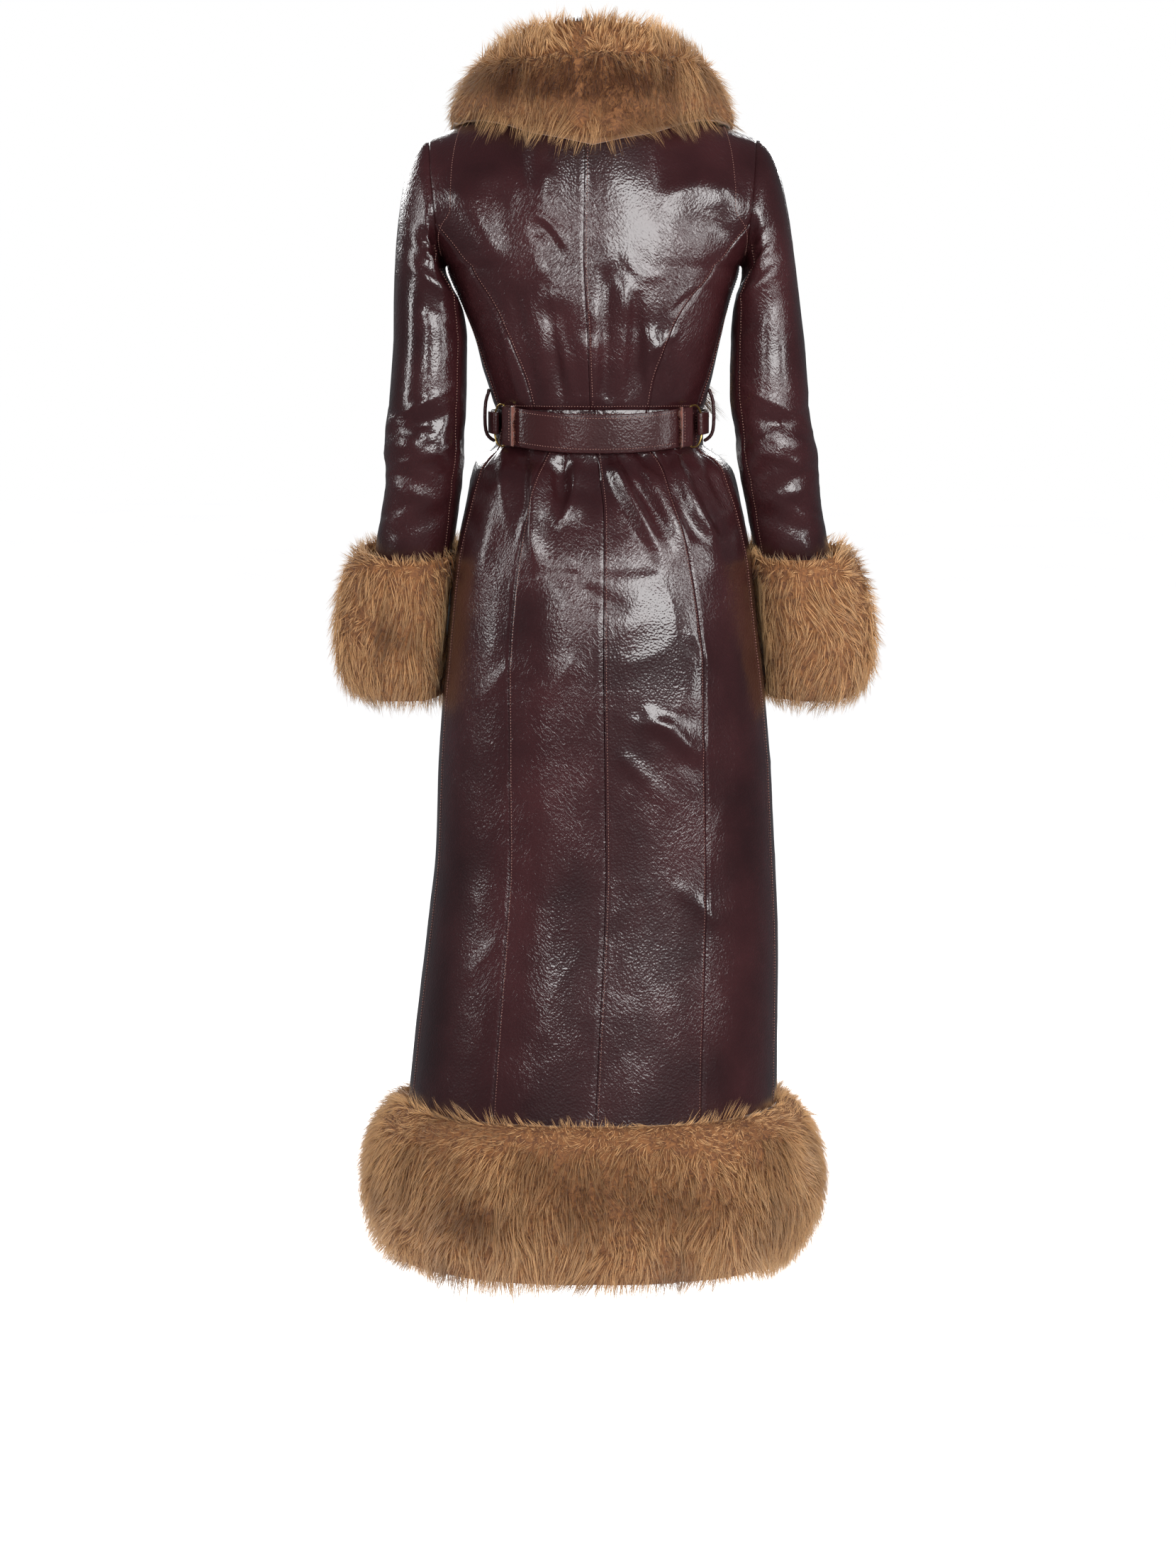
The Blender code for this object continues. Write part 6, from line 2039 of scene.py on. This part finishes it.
# The softboxes: where each stands, what it faces, its size and power, and whether leather mirrors it
Softbox = namedtuple("Softbox", "name place target width height power mirrored")
SOFTBOXES = rows_of(
    Softbox,
    ("key", (-1.35, 3.1, 0.40), (0.0, 0.0, -0.45), 2.1, 1.40, 92.0, True),
    ("key_left", (0.95, 3.25, 0.40), (0.0, 0.0, -0.45), 0.50, 1.40, 26.0, True),
    ("side_right", (-2.6, 1.7, 0.25), (0.0, 0.0, -0.4), 0.5, 2.0, 24.0, True),
    ("side_left", (2.95, 0.65, 0.35), (0.0, 0.0, -0.4), 0.5, 1.6, 21.0, True),
    ("high", (-0.4, 2.4, 2.7), (0.0, 0.0, -0.3), 2.0, 0.9, 62.0, False),
    ("front_key", (1.35, -3.1, 0.75), (0.0, 0.0, -0.45), 2.1, 1.10, 52.0, True),
    ("front_key_left", (-0.95, -3.25, 0.75), (0.0, 0.0, -0.45), 0.50, 1.10, 15.0, True),
    ("front_high", (0.4, -2.4, 2.7), (0.0, 0.0, -0.3), 2.0, 0.9, 62.0, False),
)


class COAT_OT_stage(bpy.types.Operator):
    """Sets up the pale floor, the soft studio lights and the camera"""

    bl_idname = "coat.stage"
    bl_label = "Studio"

    def execute(self, context):
        scene = context.scene
        self.add_floor(context, scene.coat_stage)
        self.add_softboxes(scene)
        self.add_room(scene, scene.coat_stage)
        self.add_camera(scene, scene.coat_stage)
        return {"FINISHED"}

    def add_floor(self, context, settings):
        """A pale board under the coat."""
        bpy.ops.object.select_all(action="DESELECT")
        bpy.ops.mesh.primitive_plane_add(size=FLOOR_SIZE, location=(0.0, 0.0, settings.floor_z))
        floor = context.view_layer.objects.active
        floor.name = "studio_floor"
        board = material("lit_studio_board", floor_material, settings.floor_colour, settings.floor_glow)
        floor.data.materials.append(board)
        floor.visible_glossy = False

    def add_softboxes(self, scene):
        """The soft lights round the coat."""
        for box in SOFTBOXES:
            light = bpy.data.lights.new("softbox_" + box.name, "AREA")
            light.shape = "RECTANGLE"
            light.size, light.size_y, light.energy = box.width, box.height, box.power
            lamp = bpy.data.objects.new(light.name, light)
            lamp.location = box.place
            aim = Vector(box.target) - Vector(box.place)
            lamp.rotation_euler = aim.to_track_quat("-Z", "Y").to_euler()
            lamp.visible_camera = False
            # The high boxes hang behind screens that keep them out of the leather's shine
            lamp.visible_glossy = box.mirrored
            scene.collection.objects.link(lamp)

    def add_room(self, scene, settings):
        """White to the eye, a dim room to matt surfaces, and dark walls where glossy ones mirror them."""
        world = bpy.data.worlds.new("studio")
        world.use_nodes = True
        tree = world.node_tree
        background = tree.nodes["Background"]
        background.inputs["Color"].default_value = ROOM_COLOUR
        path = add_node(tree, "ShaderNodeLightPath").outputs
        room = {"Value": path["Is Glossy Ray"], "To Min": settings.room_light, "To Max": settings.room_shine}
        room = add_node(tree, "ShaderNodeMapRange", room)
        tree.links.new(room.outputs["Result"], background.inputs["Strength"])
        white = add_node(tree, "ShaderNodeBackground", {"Color": (1.0, 1.0, 1.0, 1.0), "Strength": 1.0})
        both = {0: path["Is Camera Ray"], 1: background.outputs[0], 2: white.outputs[0]}
        both = add_node(tree, "ShaderNodeMixShader", both)
        tree.links.new(both.outputs[0], tree.nodes["World Output"].inputs["Surface"])
        scene.world = world
        scene.view_settings.view_transform = "Standard"

    def add_camera(self, scene, settings):
        """The camera behind the coat, at the photograph's angle."""
        camera_data = bpy.data.cameras.new("studio_camera")
        camera_data.lens = settings.camera_lens
        camera_data.sensor_width = SENSOR_WIDTH
        camera = bpy.data.objects.new("studio_camera", camera_data)
        target = Vector(settings.camera_target)
        rise = settings.camera_elevation
        back = Vector((0.0, math.cos(rise), math.sin(rise)))
        camera.location = target + back * settings.camera_distance
        camera.rotation_euler = (-back).to_track_quat("-Z", "Y").to_euler()
        scene.collection.objects.link(camera)
        scene.camera = camera


OPERATORS = (
    COAT_OT_stage,
    COAT_OT_bodice,
    COAT_OT_skirt,
    COAT_OT_sleeves,
    COAT_OT_topstitching,
    COAT_OT_hem_fur,
    COAT_OT_cuff_fur,
    COAT_OT_collar_fur,
    COAT_OT_trim_fur,
    COAT_OT_belt,
    COAT_OT_rings,
)
GROUPS = {
    "coat_leather": CoatLeather,
    "coat_fur": CoatFur,
    "coat_belt": CoatBelt,
    "coat_stage": CoatStage,
}


class COAT_PT_sidebar(bpy.types.Panel):
    """Lists the coat's sizes, colours and making steps"""

    bl_idname = "COAT_PT_sidebar"
    bl_label = "Coat"
    bl_space_type = "VIEW_3D"
    bl_region_type = "UI"
    bl_category = "Coat"

    def draw(self, context):
        for name, group in GROUPS.items():
            box = self.layout.box()
            box.label(text=group.__doc__)
            for field in group.__annotations__:
                box.prop(getattr(context.scene, name), field)
        for operator in OPERATORS:
            self.layout.operator(operator.bl_idname)


def register():
    for group in GROUPS.values():
        bpy.utils.register_class(group)
    for name, group in GROUPS.items():
        setattr(bpy.types.Scene, name, PointerProperty(type=group))
    for made in (*OPERATORS, COAT_PT_sidebar):
        bpy.utils.register_class(made)


def unregister():
    for made in (COAT_PT_sidebar, *reversed(OPERATORS)):
        bpy.utils.unregister_class(made)
    for name, group in GROUPS.items():
        delattr(bpy.types.Scene, name)
        bpy.utils.unregister_class(group)


def main():
    register()
    for operator in OPERATORS:
        group, name = operator.bl_idname.split(".")
        getattr(getattr(bpy.ops, group), name)()


if __name__ == "__main__":
    main()
